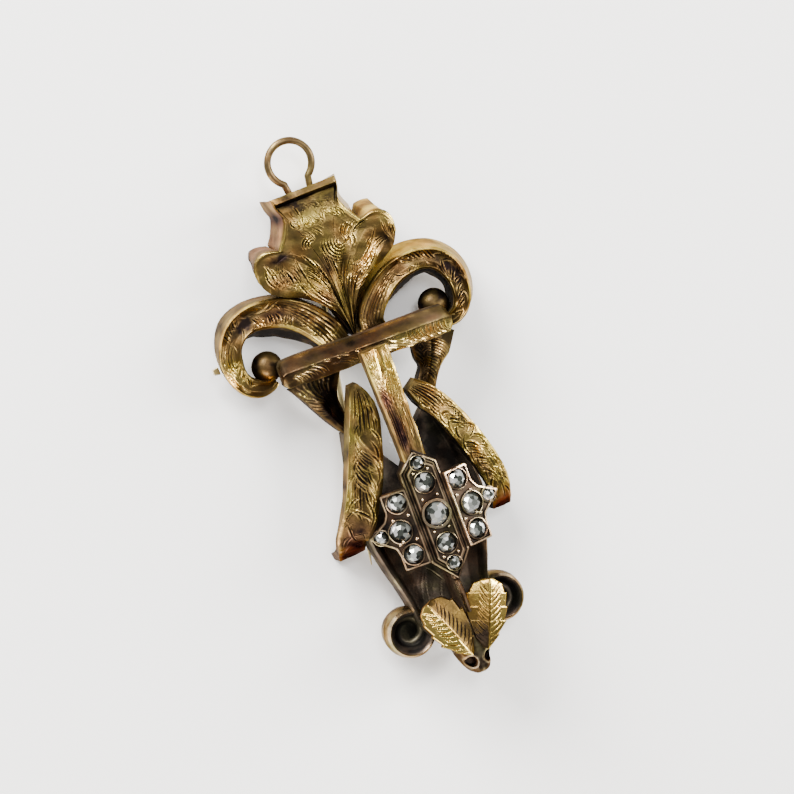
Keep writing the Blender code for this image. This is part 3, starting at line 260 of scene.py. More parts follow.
# Runs of graver's cuts, each a fan between a first and a last stroke. Columns: along and across
# of the first stroke's start and end, the same of the last stroke, count, bend, half width and
# depth (hundredths of a mm), looseness (thousandths). The rest is in percent.
# On a band, along is a share of its length and across a share of half its width. On the crest
# they are x as a share of half the width and y as a share of the height.
CUTS = {
    "scroll_left": (
        (2, -75, 34, -80, 2, 55, 30, 10, 6, 2, 10, 10, 10),
        (30, 15, 28.5, 82, 47, 12, 45.5, 82, 9, 10, 9, 10, 10),
        (34.5, -82, 42, -25, 40, -82, 47, -20, 3, 12, 10, 8, 10),
        (50, -90, 53.5, -20, 60, -90, 63, -10, 6, 10, 9, 11, 10),
        (62, -55, 80, -60, 63, 30, 78, 20, 5, -8, 10, 9, 12),
        (71, 70, 76, 10, 85, 72, 88, 5, 6, 10, 8, 8, 10),
    ),
    "scroll_right": (
        (2, -80, 36, -65, 2, 60, 33, 30, 7, 2, 9, 10, 10),
        (37.5, -88, 43, -5, 52, -88, 56, 0, 8, 10, 9, 11, 8),
        (56, -92, 57.5, -45, 70, -92, 71, -42, 15, 0, 5.5, 7, 4),
        (40, 82, 43, 35, 52, 82, 55, 38, 6, 0, 7, 6, 10),
        (60, -15, 66, 55, 86, -50, 90, 20, 9, 14, 9, 10, 12),
    ),
    "loop_left": (
        (6, -70, 30, -62, 3, 30, 26, 62, 5, 5, 9, 10, 12),
        (24, 72, 38, -55, 50, 72, 62, -62, 8, 14, 10, 12, 12),
        (44, -10, 58, -70, 60, -5, 70, -70, 5, 10, 8, 10, 12),
        (52, 75, 72, 70, 54, 25, 71.5, 0, 3, 5, 9, 10, 10),
        (70, 85, 76.5, -10, 72, 85, 76, -85, 2, -10, 10, 12, 0),
        (80, 70, 90, -45, 81, -75, 92, 60, 2, 4, 7, 8, 0),
    ),
    "loop_right": (
        (2, 60, 26, 65, 2, -60, 22, -55, 6, 5, 9, 10, 12),
        (24, -60, 34, 10, 36, -40, 44, 30, 5, 14, 9, 11, 12),
        (28, 70, 34, -10, 44, 70, 48, 0, 5, 10, 8, 10, 12),
        (48, -70, 60, 10, 76, -72, 86, 0, 11, 16, 9, 12, 8),
        (52, 55, 70, 70, 80, 10, 93, 20, 4, 4, 8, 9, 10),
    ),
    "bar": (
        (3, -10, 10, -75, 18, 5, 26, -60, 6, 16, 9, 10, 6),
        (16, 22, 22, 2, 40, 22, 46, -2, 5, 10, 8, 10, 12),
        (26, -15, 42, -70, 40, -10, 50, -60, 4, 10, 8, 8, 10),
        (62, 20, 74, -10, 66, -25, 86, -72, 5, -12, 8, 10, 8),
        (74, 22, 80, -72, 95, 22, 98.5, -70, 9, -22, 9, 12, 4),
        (55, -35, 66, -72, 60, -20, 72, -72, 3, 5, 7, 8, 4),
    ),
    "strap_left": (
        (2, 80, 42, 10, 2, -60, 55, -70, 7, 14, 9, 10, 20),
        (24, 90, 36, 45, 52, 90, 62, 40, 5, 5, 8, 9, 10),
    ),
    "strap_right": (
        (6, -30, 30, 95, 62, -40, 84, 95, 13, 10, 8.5, 11, 8),
        (2, -80, 20, -40, 40, -90, 55, -50, 6, 10, 7, 8, 10),
    ),
    "centre_bar": (
        (2, 10, 36, -32, 2, 10, 36, -32, 1, 5, 14, 16, 0),
        (1, -80, 42, -70, 2, -30, 34, -52, 4, 3, 6, 6, 4),
        (2, 35, 46, -2, 3, 82, 56, 50, 5, 4, 6, 7, 4),
        (24, -85, 40, -30, 40, -85, 54, -35, 4, 12, 7, 8, 8),
        (44, -30, 98, -35, 46, -80, 98, -85, 4, 2, 7, 7, 10),
        (46, 2, 98, 2, 50, 34, 98, 34, 2, 2, 8, 10, 0),
        (50, 66, 98, 62, 50, 88, 98, 86, 2, 2, 6, 7, 0),
    ),
    "crest": (
        (-6, 63, -2, 6, 4, 60, 1.5, 6, 5, 2, 7.5, 10, 8),
        (-43, 61.5, -9.5, 22, -52, 53, -12.5, 20, 5, -10, 8.5, 11, 6),
        (-86, 62, -80, 50, -44, 53, -36, 38, 8, 6, 8.5, 11, 12),
        (-72, 48, -50, 40, -56, 52, -34, 40, 3, 10, 7, 9, 10),
        (-33, 60, -16, 40, -22, 56, -12, 36, 2, 8, 8, 10, 4),
        (74, 61, 34, 43, 62, 42, 20, 27, 7, 10, 8.5, 12, 8),
        (30, 50, 7.5, 20, 46, 40, 12, 19, 5, -10, 8, 11, 6),
        (84, 64, 90, 50, 98, 62, 93, 48, 4, -10, 7, 8, 6),
        (18, 47, 5, 20, 12, 45, 4, 22, 2, -5, 7, 8, 0),
        (-30, 88.5, -24, 83.5, 26, 89.5, 31, 85, 8, 5, 6, 7, 14),
        (-28, 80, -20, 75.5, 30, 82, 35, 76.5, 9, -10, 6.5, 8, 16),
        (-22, 84, -25, 78, 24, 85, 20, 79, 8, 10, 6, 7, 16),
        (-24, 73.5, -14, 68, 2, 76, 10, 70, 5, 12, 6.5, 7, 12),
        (0, 90, 5, 86.5, 20, 86.5, 28, 83, 7, 25, 5.5, 8, 8),
        (-30, 85, -26, 78, -4, 81, 1, 75, 8, -25, 5.5, 8, 12),
        (6, 83, 16, 80, 36, 80, 46, 75.5, 7, 20, 5.5, 8, 12),
        (27, 63.5, 36, 71.5, 38, 59.5, 66, 67.5, 8, 12, 6, 9, 6),
        (-82, 61, -74, 46, -56, 60, -50, 43, 8, -22, 6, 10, 8),
        (-56, 42, -12, 23.5, -30, 56, -9, 30, 8, 10, 6, 9, 8),
        (10, 37, 24, 47, 30, 30, 50, 42, 10, -20, 5.5, 9, 10),
        (52, 52, 66, 56, 60, 43, 86, 50, 6, 16, 6, 8, 10),
        (95.5, 63, 98.5, 50, 90, 64, 92.5, 50, 3, 10, 5, 7, 4),
    ),
}
# Feather-like cuts. Columns: from and to along the band, count, how far each one slants along
# it, how far it reaches across, half width, depth, in the same units
BARBS = {
    "loop_left": ((10, 72, 18, 13, 90, 8.5, 10), (76, 96, 6, 4, 80, 6, 5)),
    "loop_right": ((6, 90, 22, 12, 90, 8.5, 10),),
    "scroll_left": ((6, 92, 20, 6, 85, 7, 7),),
    "scroll_right": ((6, 92, 22, 6, 85, 7, 7),),
    "strap_right": ((10, 80, 8, 16, 80, 7, 8),),
}

# Arcs of the crest's swirl. Columns: x and y of the middle, first and last radius (mm), count,
# from and to (degrees)
SWIRL = (
    (0.23, 0.6, 0.3, 1.55, 6, 120, 300),
    (0.23, 0.6, 0.42, 1.1, 3, 310, 400),
    (-0.14, 0.64, 0.35, 0.8, 3, 60, 200),
)
SWIRL_CUT = (0.085, 0.10)  # half width and depth, mm

# Soft swellings and patches of colour. Columns, in percent: along, across, their radii, rise
# (hundredths of a mm), tarnish with painted light and shade (negative for a painted highlight),
# warmth
PATCHES = {
    "scroll_left": (
        (10, -10, 18, 90, 2, 6, 30), (36, 20, 18, 90, -2, 26, 20), (54, -10, 13, 90, -2, 24, 20),
        (78, -20, 9, 60, 3, -30, 0), (93, 0, 6, 90, 0, 25, 10), (46, -60, 10, 35, 0, -15, 0),
    ),
    "scroll_right": (
        (14, 0, 17, 90, 2, 7, 45), (45, -20, 9, 60, -2, 5, 35), (63, 10, 14, 90, -3, 34, 30),
        (66, -75, 8, 25, 0, -20, 30), (80, 0, 10, 60, 2, 22, 10), (95, 0, 6, 90, 0, 30, 10),
    ),
    "loop_left": (
        (12, 10, 10, 60, -2, 15, 0), (45, 10, 22, 60, -3, 40, 10), (62, -55, 12, 30, 3, -30, 0),
        # The patch at across 95 is a painted highlight along the loop's edge
        (50, 95, 30, 22, 0, -30, 0), (90, 0, 15, 120, 0, 14, 90), (100, 0, 6, 160, 0, 10, 60),
    ),
    "loop_right": (
        (10, 0, 10, 80, 0, 20, 20), (40, 30, 10, 60, -2, 20, 0), (66, 45, 14, 40, 4, -32, 0),
        # The patch at across 90 is a painted highlight along the loop's edge
        (52, 90, 30, 20, 0, -30, 0), (76, -50, 12, 30, 0, 15, 50), (96, 0, 8, 120, 0, 14, 90),
        (100, 0, 5, 160, 0, 10, 60),
    ),
    "bar": (
        # The patches at along 66 and 88 are painted highlights on the lower facet
        (25, -30, 20, 40, 0, 8, 10), (66, -35, 22, 50, 3, -75, 0), (88, -30, 12, 50, 0, -55, 0),
        (50, 65, 70, 40, 0, 20, 15),
    ),
    "strap_left": (
        (20, 0, 40, 80, 0, 34, 10), (80, 0, 40, 100, 0, 40, 0),
    ),
    "strap_right": (
        (40, 50, 30, 60, 0, -22, 0), (20, -70, 30, 40, 0, 30, 0),
    ),
    "centre_bar": (
        (12, 10, 22, 80, 0, -30, 0), (46, -60, 12, 40, 0, 22, 80), (80, -45, 30, 55, 0, 60, 70),
        (80, 85, 30, 30, 0, 45, 10), (86, -5, 24, 60, 0, 20, 30), (75, 15, 22, 16, 4, -15, 0),
    ),
    "crest": (
        # The patch at height 94 is a painted shade line in the groove under the top rib
        (0, 97.5, 50, 2, 0, 2, 40), (0, 94, 60, 1.2, 0, 15, 0), (0, 89, 50, 5, 0, 30, 0),
        (2, 80, 24, 3.5, 5, -22, 0), (30, 34, 14, 10, 2, -18, 35), (23, 60, 16, 8, 8, -10, 15),
        (-5, 50, 10, 12, -3, 30, 35), (-62, 63, 22, 3.5, 6, 30, 35), (-62, 50, 20, 6, 3, 12, 30),
        (-30, 42, 12, 8, 3, -4, 20), (-20, 28, 12, 5, 0, -5, 50), (80, 50, 11, 6.5, -22, 30, 10),
        (92, 64, 16, 6, 10, -40, 10), (98, 52, 5, 8, 8, -20, 0), (46, 44, 19, 7, 8, -46, 35),
        (15, 26, 8, 8, 0, -5, 60), (-36, 80, 8, 10, -2, 18, 0), (36, 74, 10, 6, -2, 20, 0),
    ),
}

# How much a burr lightens the colour as a painted highlight and a cut dulls the gold, for each
# mm, and how far a burr reaches, in half widths of its cut
BURR_PAINTED_HIGHLIGHT, CUT_WEAR, CUT_REACH = 11, 4, 2.4
TINY = 1e-12

# Tones of plain places. Columns: tarnish, warmth, wear
BAIL_TONE, GRAIN_TONE, BODY_WALL_TONE = (0.56, 0.10, 0.1), (0.12, 0.35, 0.0), (0.76, 0.4, 0.5)
# The same without wear
COLLAR_TONE, COLLET_TONE = (0.35, 0.2), (0.05, 0.25)

# Old golds. Columns: bright, middling and tarnished colour, tint of the warm places, roughness,
# strength of the grain and of the clouds of colour
COPPER = (0.70, 0.48, 1.0)
GOLDS = {
    "yellow_gold": ((0.76, 0.55, 0.145), (0.205, 0.138, 0.042), (0.011, 0.008, 0.006), COPPER),
    "brown_gold": ((0.70, 0.52, 0.17), (0.13, 0.090, 0.040), (0.012, 0.009, 0.007), COPPER),
    "dark_gold": (
        (0.66, 0.56, 0.36), (0.14, 0.115, 0.090), (0.018, 0.016, 0.015), (1.0, 0.80, 0.50), 0.16,
    ),
    "copper_gold": (
        (0.70, 0.58, 0.38), (0.09, 0.066, 0.045), (0.012, 0.010, 0.009), (1.0, 0.82, 0.74),
    ),
    "leaf_gold": (
        (1.0, 0.74, 0.19), (0.27, 0.165, 0.04), (0.02, 0.014, 0.010), (0.7, 0.45, 0.5),
        0.16, 0.12, 0.3,
    ),
}
# Scale and detail of their grain, of their finest grain and of the clouds of colour
NOISES = ((700, 5), (5200, 3), (480, 3))
CLOUD_COLOURS = ((0.34, (1.0, 0.80, 0.72)), (0.5, (1.0, 1.0, 1.0)), (0.66, (0.86, 0.96, 0.70)))
TARNISH_ROUGHNESS, WORN_ROUGHNESS = 0.28, 0.35
# Colours of the stones' painted reflections, from clear silver to dark
STONE_REFLECTION_COLOURS = (
    (0.0, (1.0, 1.0, 1.0)),
    (0.30, (0.56, 0.59, 0.55)),
    (0.58, (0.085, 0.095, 0.080)),
    (1.0, (0.008, 0.009, 0.008)),
)

# Camera. AIM is in mm from the tip, PHOTO_SIDE in pixels and PHOTO_SCALE in pixels a mm
CAMERA_YAW, CAMERA_PITCH, CAMERA_ROLL = math.radians(10.0), math.radians(8.5), math.radians(20.5)
AIM = (1.317, 23.0, 5.0)
LENS, SENSOR, PHOTO_SIDE, PHOTO_SCALE = 200.0, 36.0, 794, 12.667

# Lights. Columns: name, direction, distance, width and height (m), power, colour
LIGHTS = (
    ("window", (-0.55, 0.75, 0.75), 0.42, 0.26, 0.26, 7.4, (1.0, 0.98, 0.95)),
    ("side", (0.95, 0.30, 0.45), 0.40, 0.10, 0.34, 3.4, (1.0, 0.97, 0.92)),
    ("low", (-0.35, -0.85, 0.50), 0.40, 0.30, 0.30, 2.3, (1.0, 0.93, 0.86)),
    ("front", (0.15, 0.25, 1.0), 0.55, 0.10, 0.10, 1.5, (1.0, 1.0, 1.0)),
)
FLOOR_REACH = 1.5

def clip(value):
    return np.clip(value, 0, 1)


def ramp(value, start, length):
    """0 up to start, 1 from start + length on, and even between."""
    return clip((value - start) / length)


def bell(value, middle, width):
    return np.exp(-(((value - middle) / width) ** 2))


def stacked(*columns):
    """Columns of one shape, or that spread to one, side by side along a new last axis."""
    return np.stack(np.broadcast_arrays(*columns), axis=-1)


def unit(vectors, tiny=0.0):
    return vectors / (np.linalg.norm(vectors, axis=-1, keepdims=True) + tiny)


def circle(sides):
    """Angles once round."""
    return np.linspace(0, 2 * np.pi, sides, endpoint=False)


def sided(name, side):
    return name + ("_left" if side < 0 else "_right")


def knots_of(moves):
    """Shares of its length at which a line reaches its points, from the moves between them."""
    lengths = np.linalg.norm(moves, axis=1)
    return np.concatenate([[0.0], np.cumsum(lengths)]) / lengths.sum()


def curve_through(rows, at):
    """A smooth curve through rows, read at shares of its length along the first two columns."""
    points = np.array(rows, float)
    knots = knots_of(np.diff(points[:, :2], axis=0))
    slopes = np.empty_like(points)
    slopes[1:-1] = (points[2:] - points[:-2]) / (knots[2:] - knots[:-2])[:, None]
    slopes[0] = (points[1] - points[0]) / (knots[1] - knots[0])
    slopes[-1] = (points[-1] - points[-2]) / (knots[-1] - knots[-2])
    i = np.clip(np.searchsorted(knots, at, side="right") - 1, 0, len(knots) - 2)
    span = (knots[i + 1] - knots[i])[:, None]
    u = ((at - knots[i]) / span[:, 0])[:, None]
    return (
        points[i] * (2 * u**3 - 3 * u**2 + 1)
        + points[i + 1] * (3 * u**2 - 2 * u**3)
        + slopes[i] * span * (u**3 - 2 * u**2 + u)
        + slopes[i + 1] * span * (u**3 - u**2)
    )


def grid_faces(rows, columns, ring=False):
    """Quads between the rows of a grid of points, closed round each row if ring is set."""
    r = np.arange(rows - 1)[:, None]
    c = np.arange(columns if ring else columns - 1)[None, :]
    a, b = r * columns + c, r * columns + (c + 1) % columns
    return np.stack([a, b, b + columns, a + columns], axis=-1).reshape(-1, 4)


def volume_of(points, quads, polys):
    triangles = [quads[:, [0, 1, 2]], quads[:, [0, 2, 3]]]
    for face in polys:
        triangles.append(np.array([(face[0], *face[k : k + 2]) for k in range(1, len(face) - 1)]))
    a, b, c = points[np.concatenate(triangles)].swapaxes(0, 1)
    return np.sum(a * np.cross(b, c))


def part(points, quads, polys, tone):
    """A closed mesh turned right side out. tone holds tarnish with painted light and shade, warmth
    and wear for each point.
    """
    points = np.asarray(points, float).reshape(-1, 3)
    if volume_of(points - points.mean(0), quads, polys) < 0:
        quads, polys = quads[:, ::-1], [face[::-1] for face in polys]
    return points, quads, polys, np.broadcast_to(np.reshape(tone, (-1, 3)), points.shape)


def closed(grid, tone):
    """A part from rings of points, capped at both ends."""
    rows, count = grid.shape[:2]
    caps = [list(range(count)), list(range((rows - 1) * count, rows * count))]
    return part(grid, grid_faces(rows, count, True), caps, tone)


def joined(parts):
    points, quads, polys, tones, first = [], [], [], [], 0
    for p, q, f, t in parts:
        points.append(p)
        quads.append(q + first)
        polys += [[k + first for k in face] for face in f]
        tones.append(t)
        first += len(p)
    return np.concatenate(points), np.concatenate(quads), polys, np.concatenate(tones)


def moved(shape, turn, place):
    """The part leaned by an angle about Y, then set down at a place."""
    points, quads, polys, tone = shape
    c, s = math.cos(turn), math.sin(turn)
    spin = np.array([[c, 0, s], [0, 1, 0], [-s, 0, c]])
    return points @ spin.T + np.array(place), quads, polys, tone


def origin():
    """Where the tip of the brooch stands in the frame, in metres."""
    bail_lo, bail_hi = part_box("bail_ring")
    boss_lo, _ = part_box("tip_boss")
    return np.array([(bail_lo.x + bail_hi.x) / 2, boss_lo.y, 0.0])


ORIGIN = origin()


def placed(name, data):
    """A new object in the scene."""
    made = bpy.data.objects.new(name, data)
    bpy.context.scene.collection.objects.link(made)
    return made


def piece(node, shape, slot, smooth=True):
    """The part as an object that stands for its CAD node."""
    points, quads, polys, tone = shape
    mesh = bpy.data.meshes.new(node + "_look")
    mesh.from_pydata((points * MM + ORIGIN).tolist(), [], [*quads.tolist(), *polys])
    layer = mesh.attributes.new("tone", "FLOAT_COLOR", "POINT")
    layer.data.foreach_set("color", np.insert(tone, 3, 1.0, axis=1).astype(np.float32).ravel())
    if smooth:
        mesh.shade_smooth()
        mesh.set_sharp_from_angle(angle=SHARP_EDGE)
    made = placed(node + "_look", mesh)
    mesh.materials.append(finish[slot])
    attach(made, "root")
    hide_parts(node)


# Carving


def fan(first, last, count, bend, half, depth, loose, scale, seed):
    """A run of strokes as lines of points in mm, with their half width and depth."""
    chance = np.random.default_rng(seed)
    a, b, scale = np.array(first), np.array(last), np.array(scale)
    strokes = []
    for k in range(count):
        share = k / max(1, count - 1)
        ends = a * (1 - share) + b * share + chance.normal(0, loose, 4)
        start, stop = ends[:2] * scale, ends[2:] * scale
        t = np.linspace(0, 1, 8)[:, None]
        side = np.array([-(stop - start)[1], (stop - start)[0]])
        line = start * (1 - t) + stop * t + side * bend * 4 * t * (1 - t)
        size = 1 + chance.uniform(-0.2, 0.25)
        strokes.append((line, half * size, depth * size))
    return strokes


def runs_of(name, scale):
    strokes = []
    for k, row in enumerate(CUTS.get(name, ())):
        *line, count, bend, half, depth, loose = row
        line, sizes = shares(*line), shares(bend, half, depth)
        seed = 11 * k + len(name)
        strokes += fan(line[:4], line[4:], count, *sizes, loose / 1000, scale, seed)
    return strokes


def barbs(name, scale):
    """Short slanting cuts on both sides of a band's middle, as on a feather."""
    strokes = []
    for k, row in enumerate(BARBS.get(name, ())):
        start, stop, _, slant, reach, half, depth = shares(*row)
        count = row[2]
        chance = np.random.default_rng(7 * k + 3 * len(name))
        for n in range(count):
            along = start + (stop - start) * (n + chance.uniform(-0.4, 0.4)) / count
            side = 1 if n % 2 else -1
            near, far = chance.uniform(0.02, 0.3), reach * chance.uniform(0.6, 1.0)
            first = (along, side * near, along + slant * chance.uniform(0.6, 1.2), side * far)
            strokes += fan(first, first, 1, 0.16 * side, half, depth, 0.0, scale, n + k)
    return strokes


def carve(u, v, strokes):
    """Depth of V-shaped cuts and height of their burrs at points u, v in mm."""
    cut, burr = np.zeros_like(u), np.zeros_like(u)
    for line, half, depth in strokes:
        low, high = line.min(0) - half * CUT_REACH, line.max(0) + half * CUT_REACH
        near = (u > low[0]) & (u < high[0]) & (v > low[1]) & (v < high[1])
        if not near.any():
            continue
        p = np.stack([u[near], v[near]], axis=1)
        best, place, count = np.full(len(p), np.inf), np.zeros(len(p)), len(line) - 1
        for k in range(count):
            a, d = line[k], line[k + 1] - line[k]
            t = clip(((p - a) @ d) / (d @ d + TINY))
            far = np.linalg.norm(p - a - t[:, None] * d, axis=1)
            closer = far < best
            best, place = np.where(closer, far, best), np.where(closer, (k + t) / count, place)
        thick = np.sin(np.pi * np.clip(place, 0.03, 0.97)) ** 0.6
        wide = half * (0.4 + 0.6 * thick)
        side = 0.45 * depth * thick * bell(best, wide * 1.2, wide * 0.45)
        cut[near] = np.minimum(cut[near], -depth * thick * clip(1 - best / wide))
        burr[near] = np.maximum(burr[near], side)
    return cut, burr


def patches(name, u, v):
    """Rise, tarnish with painted light and shade, and warmth of the soft patches of a piece."""
    sums = np.zeros((3, *u.shape))
    for x, y, rx, ry, *values in shares(*PATCHES.get(name, ())):
        weight = np.exp(-(((u - x) / rx) ** 2) - ((v - y) / ry) ** 2)
        sums += weight * np.array(values).reshape(-1, 1, 1)
    return sums


def uneven(u, v, size, seed):
    """A soft unevenness between about -1 and 1 with waves of the given size in mm."""
    chance = np.random.default_rng(seed)
    total = np.zeros_like(u)
    for _ in range(7):
        angle, phase = chance.uniform(0, 2 * np.pi, 2)
        rate = 2 * np.pi / (size * chance.uniform(0.6, 1.6))
        total += np.sin((u * np.cos(angle) + v * np.sin(angle)) * rate + phase)
    return total / 3.5


def normals_of(grid):
    return unit(np.cross(np.gradient(grid, axis=0), np.gradient(grid, axis=1)), TINY)


def dense_section(section, top, wall, soft):
    """The section with many points: its walls, and between them its top, partly smoothed."""
    points = np.array(section, float)
    crown = points[1:-1]
    knots = knots_of(np.diff(crown, axis=0) * [1.0, 1.5])
    at = np.linspace(0, 1, top)
    kernel = np.hanning(max(3, int(top * 0.16) | 1))
    columns = []
    for column in crown.T:
        straight = np.interp(at, knots, column)
        padded = np.pad(straight, len(kernel) // 2, mode="edge")
        smooth = np.convolve(padded, kernel / kernel.sum(), "valid")
        columns.append(straight * (1 - soft) + smooth * soft)
    made = stacked(*columns)
    share = np.linspace(0, 1, wall, endpoint=False)[:, None]
    first = points[0] * (1 - share) + made[0] * share
    last = made[-1] * share[::-1] + points[-1] * (1 - share[::-1])
    kind = np.array([1] * wall + [0] * top + [-1] * wall)
    return np.concatenate([first, made, last]), kind


def band(name, rows, sign=1):
    """A carved band along rows of x, y, front, back, half width and the spread of its two walls."""
    section, step, top, wall, soft, base, warm, *walls = BANDS[name]
    rows = np.array(rows, float)
    length = np.linalg.norm(np.diff(rows[:, :2], axis=0), axis=1).sum()
    path = curve_through(rows, np.linspace(0, 1, int(length / step)))
    path[:, 3] = np.maximum(path[:, 3], 0.0)
    if path.shape[1] == 5:
        path = np.hstack([path, np.zeros((len(path), 2))])
    along = unit(np.gradient(path[:, :2], axis=0))
    shape, kind = dense_section(section, top, wall, soft)
    across, level = shape.T[:, None]
    x, y, front, back, half, right, left = path.T[:, :, None]
    spread = np.where(sign * across > 0, left, right)
    reach = sign * across * (half + spread * (1 - level))
    x, y = x - along[:, 1:] * reach, y + along[:, :1] * reach
    grid = stacked(x, y, back + level * (front - back))
    mean = float(half.mean())
    places = np.linspace(0, 1, len(path))[:, None]
    s, w, crown = np.broadcast_arrays(places, across, kind == 0)
    strokes = runs_of(name, (length, mean)) + barbs(name, (length, mean))
    cut, burr = carve(s * length, w * mean, strokes)
    rise, tarnish_and_shading, warmth = patches(name, s, w)
    bumps = uneven(s * length, w * mean, 1.4, len(name)) * 0.018
    normal = normals_of(grid)
    if normal[:, grid.shape[1] // 2, 2].mean() < 0:
        normal = -normal
    grid = grid + normal * ((cut + burr + rise + bumps) * crown)[:, :, None]
    side = np.where(kind > 0, *walls)
    # Both edges of a band's top get a painted highlight
    edge = ramp(np.abs(w), 0.72, 0.2)
    # Painted highlights on the burrs and painted shade in the cuts, over the tarnish
    tarnish_shading_sum = base + 0.08 + tarnish_and_shading - BURR_PAINTED_HIGHLIGHT * burr + 2.8 * -cut - 0.25 * edge
    # The walls keep their tarnish with painted shade, get darker toward the back as painted shade,
    # and take the patches' stain and shade
    stain_and_shade = 0.7 * clip(tarnish_and_shading) * clip(warmth)
    tarnish_shading_sum = np.where(crown, tarnish_shading_sum, side + 0.15 * (1 - level) + stain_and_shade)
    worn = np.where(crown, clip(-cut * CUT_WEAR), clip(side * 1.1 - 0.1))
    return closed(grid, stacked(clip(tarnish_shading_sum), clip(warm + warmth), worn))


def relief(grid, back, tone, wall_tone, wall, flare=None):
    """A solid under a grid of points, with walls that may curve out to a flat back."""
    rows, columns = grid.shape[:2]
    index = np.arange(rows * columns).reshape(rows, columns)
    edge = np.concatenate([index[0], index[1:, -1], index[-1, -2::-1], index[-2:0:-1, 0]])
    rim = grid.reshape(-1, 3)[edge]
    x, y, level = rim.T
    ahead = np.roll(rim[:, :2], -1, axis=0)
    outward = unit((ahead - np.roll(rim[:, :2], 1, axis=0))[:, ::-1] * [1, -1], TINY)
    if np.sum(x * ahead[:, 1] - y * ahead[:, 0]) < 0:
        outward = -outward
    reach = flare(x, y)[:, None] if flare else 0.0
    points, tones = [grid.reshape(-1, 3)], [tone.reshape(-1, 3)]
    for share in np.arange(1, wall + 1) / wall:
        height = level * (1 - share) + back * share
        points.append(np.column_stack([rim[:, :2] + outward * reach * share, height]))
        tones.append(np.broadcast_to(wall_tone(x, y, share), rim.shape))
    below = rows * columns + np.arange(wall * len(edge)).reshape(wall, -1)
    rings = np.vstack([edge, below])
    after = np.roll(rings, -1, axis=1)
    sides = np.stack([rings[1:], after[1:], after[:-1], rings[:-1]], axis=-1).reshape(-1, 4)
    quads = np.concatenate([grid_faces(rows, columns), sides])
    return part(np.concatenate(points), quads, [rings[-1].tolist()], np.concatenate(tones))


def ball(centre, diameter, tone):
    """A ball. tone is one triple, or gives one for the direction of each point."""
    turn = np.linspace(-np.pi / 2 + 0.05, np.pi / 2 - 0.05, BALL_RINGS)
    radius, height = (np.stack([np.cos(turn), np.sin(turn)]) * diameter / 2)[:, :, None]
    angle = circle(BALL_SIDES)
    grid = stacked(radius * np.cos(angle), radius * np.sin(angle), height)
    tones = tone(grid * 2 / diameter) if callable(tone) else tone
    return closed(grid + np.array(centre), tones)


def tube(line, radii, tone):
    """A round wire along points in mm that lie in a plane of constant height."""
    along = unit(np.gradient(line, axis=0))
    side = stacked(-along[:, 1], along[:, 0], 0)
    up = np.cross(along, side)
    angle = circle(WIRE_SIDES)[:, None]
    ring = side[:, None] * np.cos(angle) + up[:, None] * np.sin(angle)
    return closed(line[:, None] + ring * radii[:, None, None], tone)


# Pieces


def make_bail():
    radius = (BAIL_WIDTH - BAIL_WIRE) / 2
    level = BACK_LEVEL + CREST_DEPTH * BAIL_LEVEL
    foot = CREST_TOP + SOLDER_GAP
    open_angle = BAIL_OPENING / 2
    middle = foot + BAIL_LEG + radius * math.cos(open_angle)
    rest = foot - BAIL_WIRE * 0.5
    turn = (2 * math.pi - 2 * open_angle) * np.arange(ARC_STEPS + 1) / ARC_STEPS
    angle = -math.pi / 2 + open_angle + turn
    arc = stacked(radius * np.cos(angle), middle + radius * np.sin(angle), level)
    feet = np.array([(side * radius * BAIL_FOOT, rest, level) for side in (1, -1)])
    line = np.concatenate([feet[:1], arc, feet[1:]])
    radii = BAIL_WIRE / 2 * (0.97 + 0.03 * np.cos(np.linspace(-1, 1, len(line)) * 9))
    piece("bail_ring", tube(line, radii, BAIL_TONE), "brown_gold")


def patch(first, last, end, places, steps):
    """Points between two flow lines that leave one corner and stop on an end line."""
    start_line, stop_line = curve_through(first, steps), curve_through(last, steps)
    made = []
    for place, edge in zip(places, end):
        line = start_line * (1 - place) + stop_line * place
        made.append(line + steps[:, None] ** 3 * (edge - line[-1]))
    return np.array(made)


def crest_half():
    """The crest's right half in flow lines from the V-point, with where its beads lie."""
    steps = np.linspace(0.0, 1.0, CREST_ROWS)
    middle = ((0.0, 0.0), (0.0, 0.5), (0.0, 1.0))
    ribs = CREST_FIELD // 3
    rib = [np.array([CREST_FLANK[0, 0] * k / ribs, 1.0]) for k in range(ribs)]
    flank = curve_through(CREST_FLANK, np.linspace(0, 1, CREST_FIELD - ribs + 1))
    field_places = np.linspace(0, 1, CREST_FIELD + 1)
    field = patch(middle, PETAL_TOP, [*rib, *flank], field_places, steps)
    petal_places = np.linspace(0, 1, CREST_PETAL + 1)
    petal_end = curve_through(PETAL_END, petal_places)
    petal = patch(PETAL_TOP, PETAL_FOOT, petal_end, petal_places, steps)[1:]
    swell = np.sin(np.pi * clip(steps * 1.15)) ** 0.5
    grid, beads = [], []
    for place, line in [*zip(field_places, field), *zip(petal_places[1:] + 1, petal)]:
        x, y = line.T
        bare, ribbed = (np.interp(at, *CREST_SPINE.T) for at in (y * RIB_SCALE, y))
        share = ramp(0.42 - place, 0, 0.06)
        level = ribbed * share + bare * (1 - share)
        if place > 1:
            level = level + np.interp(place - 1, *PETAL_SECTION.T) * swell
        else:
            level = level - 0.04 * place**2 * swell
        level = level - 0.05 * x**2
        grid.append(stacked(x, y, level * CREST_DEPTH))
        gap = np.linalg.norm((line[-1] - line) * [CREST_WIDTH / 2, CREST_HEIGHT], axis=1)
        beads.append(bell(gap, 0.16, 0.15) * ramp(place, 0.34, 0.05))
    return np.array(grid), np.array(beads)


